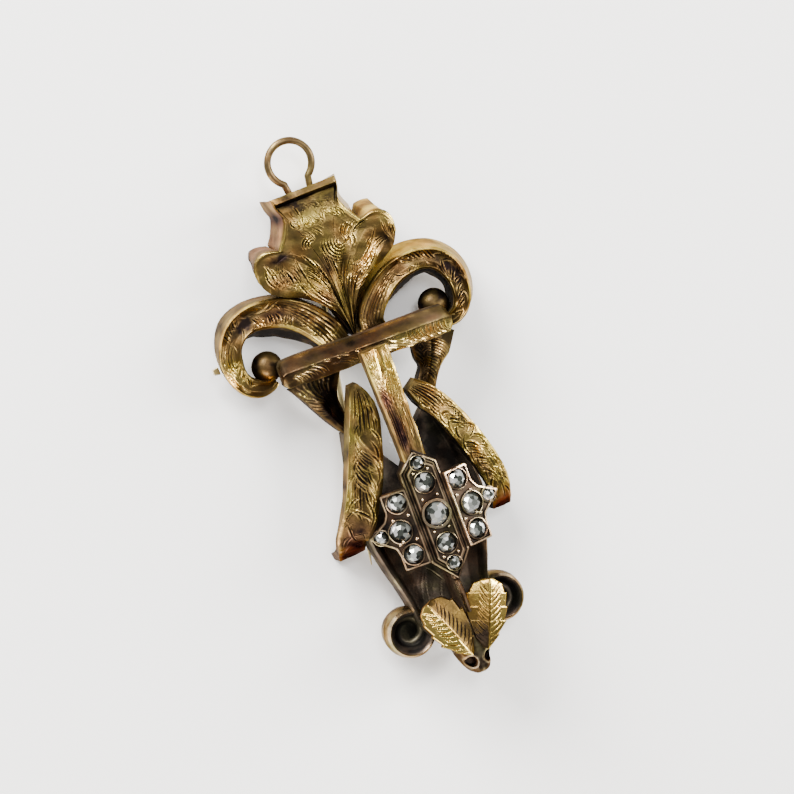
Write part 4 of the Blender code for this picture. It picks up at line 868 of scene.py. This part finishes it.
def crest_flare(x, y):
    """The flanks spread toward the back, and the top and the petals' edges are undercut."""
    share, off = (y - V_POINT_Y) / CREST_HEIGHT, np.abs(x) / (CREST_WIDTH / 2)
    flank = ramp(share, 0.60, 0.08) * ramp(1.0 - off, 0, 0.14)
    hollow = clip(1.0 - np.abs(share - 0.86) / 0.13)
    spread = np.where(x < 0, CREST_FLARE_LEFT, CREST_FLARE_RIGHT)
    notch_x, notch_y = CREST_FLANK[-1]
    notch = np.hypot((off - notch_x) * CREST_WIDTH / 2, (share - notch_y) * CREST_HEIGHT)
    spread = np.minimum(spread * (1 + 0.3 * hollow), notch)
    reach = flank * spread - (1 - flank) * ramp(share, 0.10, 0.25) * CREST_UNDERCUT
    return np.where(share > 0.995, -CREST_UNDERCUT, reach)


def crest_wall(x, y, share):
    """Painted light and shade on the crest's walls: pale flanks, the left one darker and warmer
    with painted brown shade in its hollow, painted shade under the petals, and darker toward the
    back.
    """
    high = (y - V_POINT_Y) / CREST_HEIGHT
    flank = ramp(high, 0.66, 0.06)
    stain_and_shade = bell(high, 0.86, 0.05) * (x < 0) * 0.35
    pale = np.where(x < 0, 0.45, 0.12)
    tarnish_and_shading = 0.85 * (1 - flank) + pale * flank + stain_and_shade + 0.10 * share
    dull = clip(1 - flank + np.where(x < 0, 0.5, 0.0))
    return stacked(clip(tarnish_and_shading), 0.15 + 0.5 * (x < 0) + stain_and_shade, dull)


def swirl_strokes():
    strokes = []
    for x, y, near, far, count, start, stop in SWIRL:
        for k in range(count):
            radius = near + (far - near) * k / max(1, count - 1)
            turn = np.radians(np.linspace(start + 7 * k, stop - 9 * k, 14))
            centre = np.array([x * CREST_WIDTH / 2, y * CREST_HEIGHT])
            line = centre + radius * stacked(np.cos(turn), np.sin(turn))
            strokes.append((line, *SWIRL_CUT))
    return strokes


def make_crest():
    half, beads = crest_half()
    grid = np.concatenate([half[:0:-1] * [-1.0, 1.0, 1.0], half])
    bead = np.concatenate([beads[:0:-1], beads])
    rise, tarnish_and_shading, warmth = patches("crest", grid[:, :, 0], grid[:, :, 1])
    scale = (CREST_WIDTH / 2, CREST_HEIGHT)
    grid = grid * [*scale, 1.0]
    u, v = grid[:, :, 0], grid[:, :, 1]
    cut, burr = carve(u, v, runs_of("crest", scale) + swirl_strokes())
    bumps = uneven(u, v, 1.5, 3) * 0.02
    grid[:, :, 2] += (cut + burr + bumps) * clip(1.0 - bead * 1.5) + rise + bead * 0.10
    # Painted shade on steep slopes and in the cuts, painted highlights on the burrs and on the
    # raised rim of beads
    slope = 1 - np.abs(normals_of(grid)[:, :, 2])
    tarnish_shading_sum = 0.60 + tarnish_and_shading - BURR_PAINTED_HIGHLIGHT * burr + 2.4 * -cut - 0.34 * bead + 0.5 * slope
    tone = stacked(clip(tarnish_shading_sum), clip(warmth), clip(-cut * CUT_WEAR))
    grid = grid + np.array([0.0, V_POINT_Y, BACK_LEVEL])
    piece("crest", relief(grid, BACK_LEVEL, tone, crest_wall, 9, crest_flare), "yellow_gold")


def ball_painted_highlight(way):
    """A painted highlight on a ball, a little below its middle."""
    highlight = np.exp(-((way[:, :, 0] + 0.10) ** 2 + (way[:, :, 1] + 0.25) ** 2) / 0.12)
    return stacked(0.86 - 0.50 * highlight, 0.25 + 0.3 * highlight, 0.05)


def make_scroll(side):
    name = sided("scroll", side)
    x, y, drop, half, inner, outer = LINES[name].T
    right, left = (inner, outer)[::side]
    rows = stacked(
        side * x * SCROLL_REACH,
        BAR_Y + y * SCROLL_HEIGHT,
        SCROLL_FRONT - drop * SCROLL_DEPTH,
        BACK_LEVEL,
        half * BAND_WIDTH / 2,
        right * BAND_SPREAD,
        left * BAND_SPREAD,
    )
    x, y = BALLS[side]
    level = BACK_LEVEL + BALL_DIAMETER * BALL_LEVEL
    centre = (side * x * SCROLL_REACH, BAR_Y + y * SCROLL_HEIGHT, level)
    end = ball(centre, BALL_DIAMETER, ball_painted_highlight)
    piece(name, joined([band(name, rows, -side), end]), "yellow_gold")


def make_crossbar():
    half, slope = BAR_LENGTH / 2, BAR_SLOPE / BAR_LENGTH
    x, width = BAR_ENDS.T
    rows = stacked(
        FRONT_SHIFT * 0.6 + x * half,
        BAR_Y - slope * x * half,
        BAR_FRONT,
        BAR_BACK,
        width * BAR_WIDTH / 2,
    )
    parts = [band("bar", rows)]
    reach = BAR_FRONT - BACK_LEVEL
    for side in (-1, 1):
        name = sided("strap", side)
        x, y, front, back, width = LINES[name].T
        rows = stacked(
            FRONT_SHIFT + side * x * half,
            BODY_TOP + y * STRAP_RISE - slope * side * x * half,
            BACK_LEVEL + front * reach,
            BACK_LEVEL + back * reach,
            width * STRAP_WIDTH / 2,
        )
        parts.append(band(name, rows, side))
    piece("crossbar", joined(parts), "brown_gold")


def make_centre_bar():
    top = BAR_Y + BAR_WIDTH * 0.02
    foot = SETTING_Y + SETTING_LENGTH + SOLDER_GAP * 2
    share = np.linspace(0.0, 1.0, 5)
    half = CENTRE_BAR_WIDTH / 2 * (1 - CENTRE_BAR_TAPER * share)
    rows = stacked(FRONT_SHIFT, top + (foot - top) * share, CENTRE_FRONT, CENTRE_BACK, half)
    crown, wall = BANDS["centre_bar"][2:4]
    points, _, _, tone = band("centre_bar", rows)
    grid, tone = (a.reshape(-1, crown + 2 * wall, 3) for a in (points, tone))
    grid = np.concatenate([grid, (grid[:, :1] + grid[:, -1:]) / 2], axis=1)
    tone = np.concatenate([tone, tone[:, -1:]], axis=1)
    fork = SETTING_WIDTH * SETTING_SHOULDER / (SETTING_WIDTH / 2 + SETTING_LEDGE)
    near = clip(1 - (grid[:, :, 1] - foot) / FORK_REACH)
    grid[:, :, 1] -= fork * np.abs(grid[:, :, 0] - FRONT_SHIFT) * near
    count, ridge = grid.shape[1], wall + crown // 2
    caps = []
    for first in (0, (len(grid) - 1) * count):
        caps.append([first + count - 1, *range(first, first + ridge + 1)])
        caps.append(list(range(first + ridge, first + count)))
    shape = part(grid, grid_faces(len(grid), count, True), caps, tone)
    piece("centre_bar", shape, "yellow_gold")


def make_loop(side):
    name = sided("loop", side)
    front_most = CENTRE_BACK - SOLDER_GAP
    x, y, drop, back, half = LINES[name].T
    rows = stacked(
        side * x * LOOP_SPREAD,
        BAR_Y - y * LOOP_LENGTH,
        front_most * (1 - drop),
        front_most * back,
        half * LOOP_WIDTH / 2,
    )
    piece(name, band(name, rows, side), "yellow_gold")


def make_volute(side):
    """An open cup with a pale wall, darker toward the inside, with painted highlights on its
    spiral.
    """
    fine = np.linspace(0, 1, VOLUTE_RINGS)
    knots = np.linspace(0, 1, len(VOLUTE_PROFILE))
    radii, levels = (np.interp(fine, knots, column)[:, None] for column in VOLUTE_PROFILE.T)
    fine, angle = fine[:, None], circle(VOLUTE_SIDES)
    spiral = 0.10 * np.sin(side * angle + radii * 16) * ramp(fine, 0.70, 0.1)
    reach = radii * VOLUTE_DIAMETER / 2
    middle = side * (1.0 if side < 0 else RIGHT_VOLUTE) * VOLUTE_SPREAD / 2
    level = BACK_LEVEL + levels * BODY_DEPTH + spiral
    grid = stacked(middle + reach * np.cos(angle), VOLUTE_Y + reach * np.sin(angle), level)
    dark = ramp(fine, 0.52, 0.12)
    # Darker toward the inside; lighter where the spiral rises as a painted highlight, darker where
    # it sinks as painted shade
    return closed(grid, stacked(0.34 + 0.54 * dark - spiral * 3, 0.35 * (1 - dark), 0.3 * dark))


def make_body():
    edge, inner = np.linspace(0.8, 1, RIM_COLUMNS), np.linspace(-0.79, 0.79, BODY_COLUMNS)
    places = np.concatenate([-edge[::-1], inner, edge])[:, None]
    levels = np.interp(np.abs(places), *BODY_SECTION.T)
    top = BODY_TOP - BODY_LENGTH * BODY_NOTCH * (1 - np.abs(places)) ** NOTCH_POWER
    y = BODY_START + np.linspace(0, 1, BODY_ROWS) * (top - BODY_START)
    share, left, right = BODY_OUTLINE.T
    high = (y - BODY_START) / BODY_LENGTH
    half = np.where(places < 0, np.interp(high, share, left), np.interp(high, share, right))
    x = places * (half * BODY_WIDTH / 2)
    strokes, scale = [], (BODY_WIDTH / 2, BODY_LENGTH)
    for first, last, count, bend in BODY_CUTS:
        strokes += fan(first, last, count, bend, 0.06, 0.05, 0.03, scale, 5)
    cut, burr = carve(x, y - BODY_START, strokes)
    rim = ramp(np.abs(places), 0.86, 0.05)
    z = BACK_LEVEL + levels * BODY_DEPTH
    z = z + (cut + burr) * (1 - rim) + uneven(x, y, 2.5, 9) * 0.03 * (1 - rim)
    high = ramp(y, SETTING_Y, SETTING_LENGTH)
    # Darker toward the top and lighter on the rim, with painted highlights on the burrs
    tarnish_and_shading = 0.62 + 0.28 * high - 0.10 * rim - 8 * burr + 0.07 * uneven(x, y, 2.0, 4)
    tone = stacked(clip(tarnish_and_shading), 0.15, 0.2)
    dish = relief(stacked(x, y, z), BACK_LEVEL, tone, lambda *_: BODY_WALL_TONE, 6)
    piece("body", joined([dish, make_volute(-1), make_volute(1)]), "dark_gold")


def make_keel():
    low = BODY_FLOOR + BODY_DEPTH * 0.06 + SOLDER_GAP
    under = SETTING_BACK - SOLDER_GAP
    proud = SETTING_BACK + SETTING_THICKNESS * 0.35
    half = KEEL_THICKNESS / 2
    parts = []
    for start, stop, front, width in (
        (SETTING_Y + SETTING_LENGTH * 0.62, SETTING_Y - SOLDER_GAP, under, half),
        (SETTING_Y - SOLDER_GAP * 1.5, BOSS_LENGTH + SOLDER_GAP * 6, proud, half * 0.9),
    ):
        rows = stacked(FRONT_SHIFT, np.linspace(start, stop, 4), front, low, width)
        parts.append(band("keel", rows))
    piece("keel", joined(parts), "copper_gold")


def inset(outline, distance):
    """The outline drawn in by a distance, with its corners kept."""
    points = np.array(outline, float)
    behind, ahead = np.roll(points, 1, axis=0), np.roll(points, -1, axis=0)
    area = np.sum(points[:, 0] * ahead[:, 1] - points[:, 1] * ahead[:, 0])
    turn = [-1, 1] if area > 0 else [1, -1]
    n1, n2 = unit(points - behind)[:, ::-1] * turn, unit(ahead - points)[:, ::-1] * turn
    return points + (n1 + n2) / (1 + np.sum(n1 * n2, axis=1))[:, None] * distance


def rounded(outline, radius):
    """The outline with each corner rounded by a short bend."""
    made = []
    for k, corner in enumerate(outline):
        a, b = outline[k - 1] - corner, outline[(k + 1) % len(outline)] - corner
        near = min(radius, 0.45 * np.linalg.norm(a), 0.45 * np.linalg.norm(b))
        p, q = corner + unit(a) * near, corner + unit(b) * near
        for t in np.linspace(0, 1, CORNER_STEPS):
            made.append(p * (1 - t) ** 2 + 2 * corner * t * (1 - t) + q * t**2)
    return np.array(made)


def plate(outline, profile, radius):
    """A plate from rings of its outline. profile columns: how far in, level, tarnish with painted
    shade, warmth.
    """
    rings, tones = [], []
    for distance, level, tarnish_and_shading, warmth in profile:
        rings.append(np.insert(rounded(inset(outline, distance), radius), 2, level, axis=1))
        tones += [(tarnish_and_shading, warmth, 0.1)] * len(rings[0])
    return closed(np.array(rings), tones)


def collar(x, y, diameter, low, high, thick, tarnish_and_shading, warmth):
    """The thin ring of metal turned over a stone's edge."""
    inner, outer = diameter / 2 - 0.03, diameter / 2 + thick
    radius = np.array([inner, outer, outer, outer - 0.03, inner + 0.05, inner])
    height = np.array([low, low, high - 0.07, high - 0.01, high, high - 0.05])
    # Painted shade at the foot and inside of the ring, a painted highlight along its top
    tone = stacked([0.8, 0.85, 0.5, tarnish_and_shading, tarnish_and_shading * 0.7, 0.7], warmth, 0)
    rows, angle = len(radius), circle(COLLAR_SIDES)[:, None]
    wobble = 1 + 0.012 * np.sin(angle * 5 + x * 9)
    out_x, out_y = radius * np.cos(angle) * wobble, radius * np.sin(angle) * wobble
    quads = grid_faces(COLLAR_SIDES + 1, rows, True) % (COLLAR_SIDES * rows)
    points = stacked(x + out_x, y + out_y, height)
    return part(points, quads, [], np.tile(tone, (COLLAR_SIDES, 1)))


def grains(places, size, level):
    """Small beads of metal that hold the stones."""
    return [ball((x, y, level), size, GRAIN_TONE) for x, y in places]


def stone(node, x, y, diameter, seat, lean, place, seed):
    """A rose-cut stone, each of its facets with its own painted reflection."""
    chance = np.random.default_rng(seed)
    spin = chance.uniform(0, 1)
    rings = []
    for radius, height, turn in STONE_RINGS:
        angle = 2 * np.pi * (np.arange(STONE_SIDES) + turn / 2) / STONE_SIDES
        reach, level = radius * diameter / 2, seat + height * STONE_HEIGHT
        rings.append(stacked(x + reach * np.cos(angle), y + reach * np.sin(angle), level))
    sectors = STONE_PAINTED_REFLECTIONS[chance.permutation(STONE_SIDES)]
    facets, facet_reflections = [], []
    for r in range(len(rings) - 1):
        for k in range(STONE_SIDES):
            after = (k + 1) % STONE_SIDES
            a, b, c, d = rings[r][k], rings[r][after], rings[r + 1][after], rings[r + 1][k]
            shade, other = sectors[k], sectors[after]
            if r == 1:
                facets += [[a, b, d], [b, c, d]]
                facet_reflections += [shade, other if chance.random() < 0.5 else shade]
            else:
                facets.append([a, b, c, d])
                facet_reflections.append(0.80 if r == 0 else 0.80 * shade + 0.20 * chance.random())
    facets += [list(rings[-1]), list(rings[0][::-1])]
    facet_reflections += [chance.choice(TABLE_PAINTED_REFLECTIONS), 0.9]
    polys, tones = [], []
    for facet, shade in zip(facets, facet_reflections):
        polys.append(list(range(len(tones), len(tones) + len(facet))))
        tones += [(shade, spin, 0.0)] * len(facet)
    shape = (np.concatenate(facets), np.zeros((0, 4), int), polys, np.array(tones))
    piece(node, moved(shape, lean, place), "diamond", smooth=False)


def make_setting():
    half, step = SETTING_WIDTH / 2 + SETTING_LEDGE, CENTRE_FRONT - STEP_HEIGHT
    top, bottom = SETTING_Y + SETTING_LENGTH, SETTING_Y
    shoulder, hip = top - SETTING_WIDTH * SETTING_SHOULDER, bottom + SETTING_WIDTH * SETTING_HIP
    left, right = FRONT_SHIFT - half, FRONT_SHIFT + half
    tips = (FRONT_SHIFT, top), (FRONT_SHIFT, bottom)
    outline = [tips[0], (left, shoulder), (left, hip), tips[1], (right, hip), (right, shoulder)]
    profile = [(0.00, SETTING_BACK, 0.75, 0.5)]
    for distance, raised, drop, tarnish_and_shading, warmth in SETTING_PROFILE:
        profile.append((distance, (CENTRE_FRONT if raised else step) - drop, tarnish_and_shading, warmth))
    parts = [plate(outline, profile, CORNER_RADIUS)]
    y, size = CENTRE_STONES.T
    stones = stacked(FRONT_SHIFT, SETTING_Y + y * SETTING_LENGTH, size * STONE_DIAMETER)
    floor = CENTRE_FRONT - GROOVE_DEPTH
    for k, place in enumerate(stones):
        if k == COLLET_STONE:
            edge = (step, CENTRE_FRONT + COLLET_HEIGHT, COLLET_WALL, *COLLET_TONE)
        else:
            edge = (floor - 0.1, CENTRE_FRONT + COLLAR_HEIGHT, COLLAR_WALL, *COLLAR_TONE)
        parts.append(collar(*place, *edge))
    spots = []
    for (x, y, d), (_, y2, d2) in zip(stones, stones[1:]):
        middle = ((y - d / 2) + (y2 + d2 / 2)) / 2
        spots += [(x - GRAIN_PLACE, middle), (x + GRAIN_PLACE, middle)]
    parts += grains(spots, GRAIN_DIAMETER, CENTRE_FRONT - 0.08)
    piece("setting_centre", joined(parts), "copper_gold")
    seat = CENTRE_FRONT - POCKET_DEPTH
    for k, place in enumerate(stones):
        lift = COLLET_HEIGHT if k == COLLET_STONE else 0.0
        stone(f"stone_centre_{k + 1}", *place, seat + lift, 0.0, (0.0, 0.0, 0.0), 40 + k)


def make_wing(side):
    stain_and_shade = 0.24 if side < 0 else 0.02
    # Plate rings: how far in, level, tarnish with painted shade, warmth. The back ring is painted
    # dark as shade, the sunken middle round the stones is dark too, and the left wing is darker
    # than the right
    profile = (
        (0.05, -WING_THICKNESS, 0.8, 0.4),
        (0.00, -0.10, 0.35 + stain_and_shade, 0.35),
        (0.05, -0.01, 0.05 + stain_and_shade, 0.35),
        (0.15, 0.00, 0.08 + stain_and_shade, 0.35),
        (0.20, -0.18, 0.85, 0.2),
    )
    sizes = [side * WING_REACH, WING_LENGTH]
    parts = [plate(WING_OUTLINE * sizes, profile, WING_CORNER_RADIUS)]
    stones = WING_STONES * [*sizes, STONE_DIAMETER]
    for x, y, diameter in stones:
        edge = (-0.3, WING_COLLAR_HEIGHT, WING_COLLAR_WALL, *COLLAR_TONE)
        parts.append(collar(x, y, diameter, *edge))
    parts += grains([(side * x, y) for x, y in WING_GRAINS], WING_GRAIN_DIAMETER, -0.06)
    edge = SETTING_WIDTH / 2 + SETTING_LEDGE + SOLDER_GAP
    middle = SETTING_Y + SETTING_LENGTH * WING_PLACE
    place = (FRONT_SHIFT + side * edge, middle, CENTRE_FRONT)
    lean = side * WING_LEAN
    piece(sided("wing", side), moved(joined(parts), lean, place), "copper_gold")
    for k, (x, y, diameter) in enumerate(stones):
        node = f"{sided('stone', side)}_{k + 1}"
        stone(node, x, y, diameter, -POCKET_DEPTH, lean, place, 60 + 10 * side + k)


def make_leaf(side):
    back = BACK_LEVEL + BOSS_DEPTH + SOLDER_GAP
    share = np.linspace(0.0, 1.0, LEAF_ROWS)[None, :]
    across = np.linspace(-1.0, 1.0, LEAF_COLUMNS)[:, None]
    tooth = (share * LEAF_TEETH) % 1.0
    width = np.interp(share, *LEAF_OUTLINE.T) * (1 - LEAF_TOOTH + LEAF_TOOTH * tooth)
    inner = clip(-side * across)
    reach = across * width * LEAF_WIDTH / 2 * (1 + 0.35 * inner)
    s, c = side * math.sin(LEAF_LEAN), math.cos(LEAF_LEAN)
    x = side * LEAF_WIDTH * LEAF_FOOT_X + s * LEAF_LENGTH * share + c * reach
    y = BODY_START * LEAF_FOOT_Y + c * LEAF_LENGTH * share - s * reach
    x = side * np.maximum(side * x, SOLDER_GAP / 2 * (1.5 - 0.5 * side * across))
    bow = 1.0 - 0.55 * np.abs(across) - 0.5 * (2 * share - 1) ** 2
    scale = (LEAF_LENGTH, LEAF_WIDTH / 2)
    strokes = []
    for sign in (-1, 1):
        first, last = (0.06, 0.05 * sign, 0.24, 0.80 * sign), (0.80, 0.03 * sign, 0.97, 0.50 * sign)
        strokes += fan(first, last, 10, 0.06 * sign, 0.055, 0.08, 0.006, scale, 3)
    middle = (0.02, 0.0, 0.98, 0.0)
    strokes += fan(middle, middle, 1, 0.0, 0.08, 0.10, 0.0, scale, 3)
    cut, burr = carve(share * LEAF_LENGTH + 0 * across, reach, strokes)
    rim = ramp(np.abs(across), 0.93, 0.07)
    fold = clip(inner / 0.12)
    bulge = 0.70 + 0.6 * bow - 0.35 * inner
    z = back + LEAF_THICKNESS * bulge + cut + burr * 0.3 - 0.14 * rim**2
    # Painted shade: each leaf's inner half is darker, as turned from the light, the right leaf also
    # toward its foot and the left one a little at its foot; the veins and the rim are painted
    # darker too
    if side < 0:
        shade = 0.76 * fold + 0.10 * bell(share, 0, 0.2)
    else:
        shade = 0.62 * clip(1.3 - 2.0 * share) * clip(0.7 + fold) + 0.40 * fold
    tarnish_shading_sum = 0.04 + shade - cut * 8 + 0.7 * rim * (1 - 0.7 * fold)
    tone = stacked(clip(tarnish_shading_sum), 0.05, 0.0)
    grid = stacked(x, y, z)
    # The leaf's walls get darker toward the back, as painted shade
    shape = relief(grid, back, tone, lambda x, y, down: (0.45 + 0.4 * down, 0.6, 0.5), 5)
    piece(sided("leaf", side), shape, "leaf_gold")


def make_boss():
    half = BOSS_WIDTH / 2
    rows = []
    for y, front, back, width in BOSS_LINE:
        front, back = BACK_LEVEL + BOSS_DEPTH * front, BACK_LEVEL + BOSS_DEPTH * back
        rows.append((0.0, BOSS_LENGTH * y, front, back, half * width))
    for y, width in ((BODY_START, 0.94), (BOSS_LENGTH, 1.0)):
        rows.append((0.0, y, BACK_LEVEL + BOSS_DEPTH, BODY_RIM + SOLDER_GAP, half * width))
    points, quads, polys, tone = band("boss", rows)
    tone = tone.copy()
    front = points[:, 2] > BACK_LEVEL + BOSS_DEPTH * 0.55
    for side in (-1, 1):
        off_x = points[:, 0] - side * half * BOSS_HOLE_X
        off_y = points[:, 1] - BOSS_LENGTH * BOSS_HOLE_Y
        far = np.hypot(off_x, off_y * 0.85)
        hole = 1 / (1 + np.exp((far - BOSS_HOLE_RADIUS) / BOSS_HOLE_EDGE))
        ring = bell(far, 0.46, 0.10)
        points[:, 2] += np.where(front, -BOSS_HOLE_DEPTH * hole + 0.05 * ring, 0)
        # Painted shade in each hole and a painted highlight on the raised ring round it
        tone[:, 0] = clip(tone[:, 0] + np.where(front, 0.8 * hole - 0.3 * ring, 0))
    # A painted highlight along the middle of the boss's front
    tone[:, 0] = clip(tone[:, 0] - 0.2 * bell(points[:, 0], 0, 0.28) * front)
    piece("tip_boss", (points, quads, polys, tone), "copper_gold")


# Materials


def feed(tree, node, inputs):
    """Give the inputs of a node their values, or link them to the output of another node."""
    for key, value in inputs.items():
        if isinstance(value, bpy.types.NodeSocket):
            tree.links.new(value, node.inputs[key])
        else:
            node.inputs[key].default_value = value


def add(tree, kind, output, inputs, **settings):
    """A new node fed with inputs. Gives its output of that name."""
    node = tree.nodes.new("ShaderNode" + kind)
    for key, value in settings.items():
        setattr(node, key, value)
    feed(tree, node, inputs)
    return node.outputs[output]


def gradient(tree, factor, *stops):
    """A colour ramp through stops of a position and a colour."""
    node = tree.nodes.new("ShaderNodeValToRGB")
    elements = node.color_ramp.elements
    ends = (stops[0], stops[-1])
    for element, (position, colour) in zip((elements[0], elements[1]), ends):
        element.position, element.color = position, (*colour, 1)
    for position, colour in stops[1:-1]:
        elements.new(position).color = (*colour, 1)
    feed(tree, node, {"Fac": factor})
    return node.outputs["Color"]


def times(tree, factor, a, b):
    inputs = {"Factor": factor, "A": a, "B": b}
    return add(tree, "Mix", "Result", inputs, data_type="RGBA", blend_type="MULTIPLY")


def shaded(name):
    """A new material with its node tree and shader."""
    material = bpy.data.materials.new(name)
    material.use_nodes = True
    return material, material.node_tree, material.node_tree.nodes["Principled BSDF"]


def tone_parts(tree):
    """The tarnish with painted light and shade, the warmth and the wear that the mesh holds."""
    tone = add(tree, "Attribute", "Color", {}, attribute_name="tone")
    split = add(tree, "SeparateColor", "Red", {"Color": tone}).node
    return [split.outputs[key] for key in ("Red", "Green", "Blue")]


def gold(name, bright, middle, dark, warm, roughness=0.2, grain=0.22, hue=0.8):
    """Old gold. Tarnish and painted shade darken it, painted highlights lighten it, warmth turns it
    to copper and a grain breaks up its shine.
    """
    material, tree, shader = shaded(name)
    tarnish_and_shading, warmth, dull = tone_parts(tree)
    place = add(tree, "TexCoord", "Object", {})
    broad, fine, cloud = (
        add(tree, "TexNoise", "Fac", {"Vector": place, "Scale": scale, "Detail": detail})
        for scale, detail in NOISES
    )
    limits = {"From Min": 0.3, "From Max": 0.7, "To Min": -grain, "To Max": grain}
    spread = add(tree, "MapRange", "Result", {"Value": broad, **limits})
    tarnish_shading_sum = add(tree, "Math", "Value", {0: tarnish_and_shading, 1: spread}, operation="ADD")
    shade = gradient(tree, tarnish_shading_sum, (0.02, bright), (0.48, middle), (0.95, dark))
    tint = times(tree, warmth, shade, (*warm, 1))
    hues = gradient(tree, cloud, *CLOUD_COLOURS)
    limits = {"To Min": roughness, "To Max": roughness + TARNISH_ROUGHNESS}
    rough = add(tree, "MapRange", "Result", {"Value": tarnish_shading_sum, **limits})
    matt = {0: dull, 1: WORN_ROUGHNESS, 2: rough}
    matt = add(tree, "Math", "Value", matt, operation="MULTIPLY_ADD")
    metal = add(tree, "MapRange", "Result", {"Value": dull, "To Min": 1.0, "To Max": 0.25})
    bump = add(tree, "Bump", "Normal", {"Strength": 0.25, "Distance": 0.00006, "Height": fine})
    shine = {
        "Base Color": times(tree, hue, tint, hues),
        "Metallic": metal,
        "Roughness": matt,
        "Normal": bump,
        "Specular Tint": (0.38, 0.33, 0.27, 1),
        "Specular IOR Level": 0.2,
    }
    feed(tree, shader, shine)
    return material


def diamond():
    """A foiled stone with painted reflections: its facets run from clear silver to dark."""
    material, tree, shader = shaded("diamond")
    shine = {
        "Base Color": gradient(tree, tone_parts(tree)[0], *STONE_REFLECTION_COLOURS),
        "Metallic": 0.75,
        "Roughness": 0.06,
        "IOR": 2.0,
        "Coat Weight": 0.4,
        "Coat Roughness": 0.02,
    }
    feed(tree, shader, shine)
    return material


def plain(name, colour, roughness, metallic=0.0):
    material, tree, shader = shaded(name)
    feed(tree, shader, {"Base Color": (*colour, 1), "Roughness": roughness, "Metallic": metallic})
    return material


def make_finishes():
    made = {name: gold(name, *colours) for name, colours in GOLDS.items()}
    made["brass"] = plain("brass_plain", (0.72, 0.58, 0.28), 0.3, 1.0)
    made["diamond"] = diamond()
    return made


# Floor, light and camera


def camera_axes():
    yaw, pitch, roll = CAMERA_YAW, CAMERA_PITCH, CAMERA_ROLL
    s, c = math.sin, math.cos
    back = np.array([-s(yaw) * c(pitch), s(pitch), c(yaw) * c(pitch)])
    right = np.array([c(yaw), 0.0, s(yaw)])
    up = np.array([s(pitch) * s(yaw), c(pitch), -s(pitch) * c(yaw)])
    return right * c(roll) - up * s(roll), up * c(roll) + right * s(roll), back


def aim_at(thing, place, right, up, back):
    rows = [(right[k], up[k], back[k], place[k]) for k in range(3)]
    thing.matrix_world = Matrix((*rows, (0, 0, 0, 1)))


def make_camera():
    right, up, back = camera_axes()
    distance = PHOTO_SIDE / PHOTO_SCALE * LENS / SENSOR
    data = bpy.data.cameras.new("camera")
    data.lens, data.sensor_width = LENS, SENSOR
    data.clip_start, data.clip_end = 0.01, 20
    camera = placed("camera", data)
    aim_at(camera, np.array(AIM) * MM + ORIGIN + back * distance * MM, right, up, back)
    bpy.context.scene.camera = camera


def make_light(name, towards, distance, size, size_y, power, colour):
    """A soft light seen from the brooch in a direction of camera right, up and back."""
    direction = unit(np.array(towards) @ np.array(camera_axes()))
    data = bpy.data.lights.new(name, "AREA")
    data.shape, data.size, data.size_y = "RECTANGLE", size, size_y
    data.energy, data.color = power, colour
    place = np.array(AIM) * MM + ORIGIN + direction * distance
    side = unit(np.cross((0.0, 0.0, 1.0), direction))
    aim_at(placed(name, data), place, side, np.cross(direction, side), direction)


def make_stage():
    mesh = bpy.data.meshes.new("floor")
    reach = FLOOR_REACH
    corners = [(-reach, -reach, 0), (reach, -reach, 0), (reach, reach, 0), (-reach, reach, 0)]
    mesh.from_pydata(corners, [], [(0, 1, 2, 3)])
    floor = placed("floor", mesh)
    mesh.materials.append(plain("floor", (0.98, 0.98, 0.98), 0.9))
    world = bpy.data.worlds.new("studio")
    bpy.context.scene.world = world
    world.use_nodes = True
    sky = {"Color": (0.80, 0.82, 0.85, 1), "Strength": 0.28}
    feed(world.node_tree, world.node_tree.nodes["Background"], sky)
    for row in LIGHTS:
        make_light(*row)


finish = make_finishes()
make_bail()
make_crest()
for side in (-1, 1):
    make_scroll(side)
make_crossbar()
make_centre_bar()
for side in (-1, 1):
    make_loop(side)
make_body()
make_keel()
make_setting()
for side in (-1, 1):
    make_wing(side)
for side in (-1, 1):
    make_leaf(side)
make_boss()
for node in ("brooch_pin", "pin_catch", "side_lug"):
    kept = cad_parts[node]
    kept.data.materials.clear()
    kept.data.materials.append(finish["brass"])
make_stage()
make_camera()
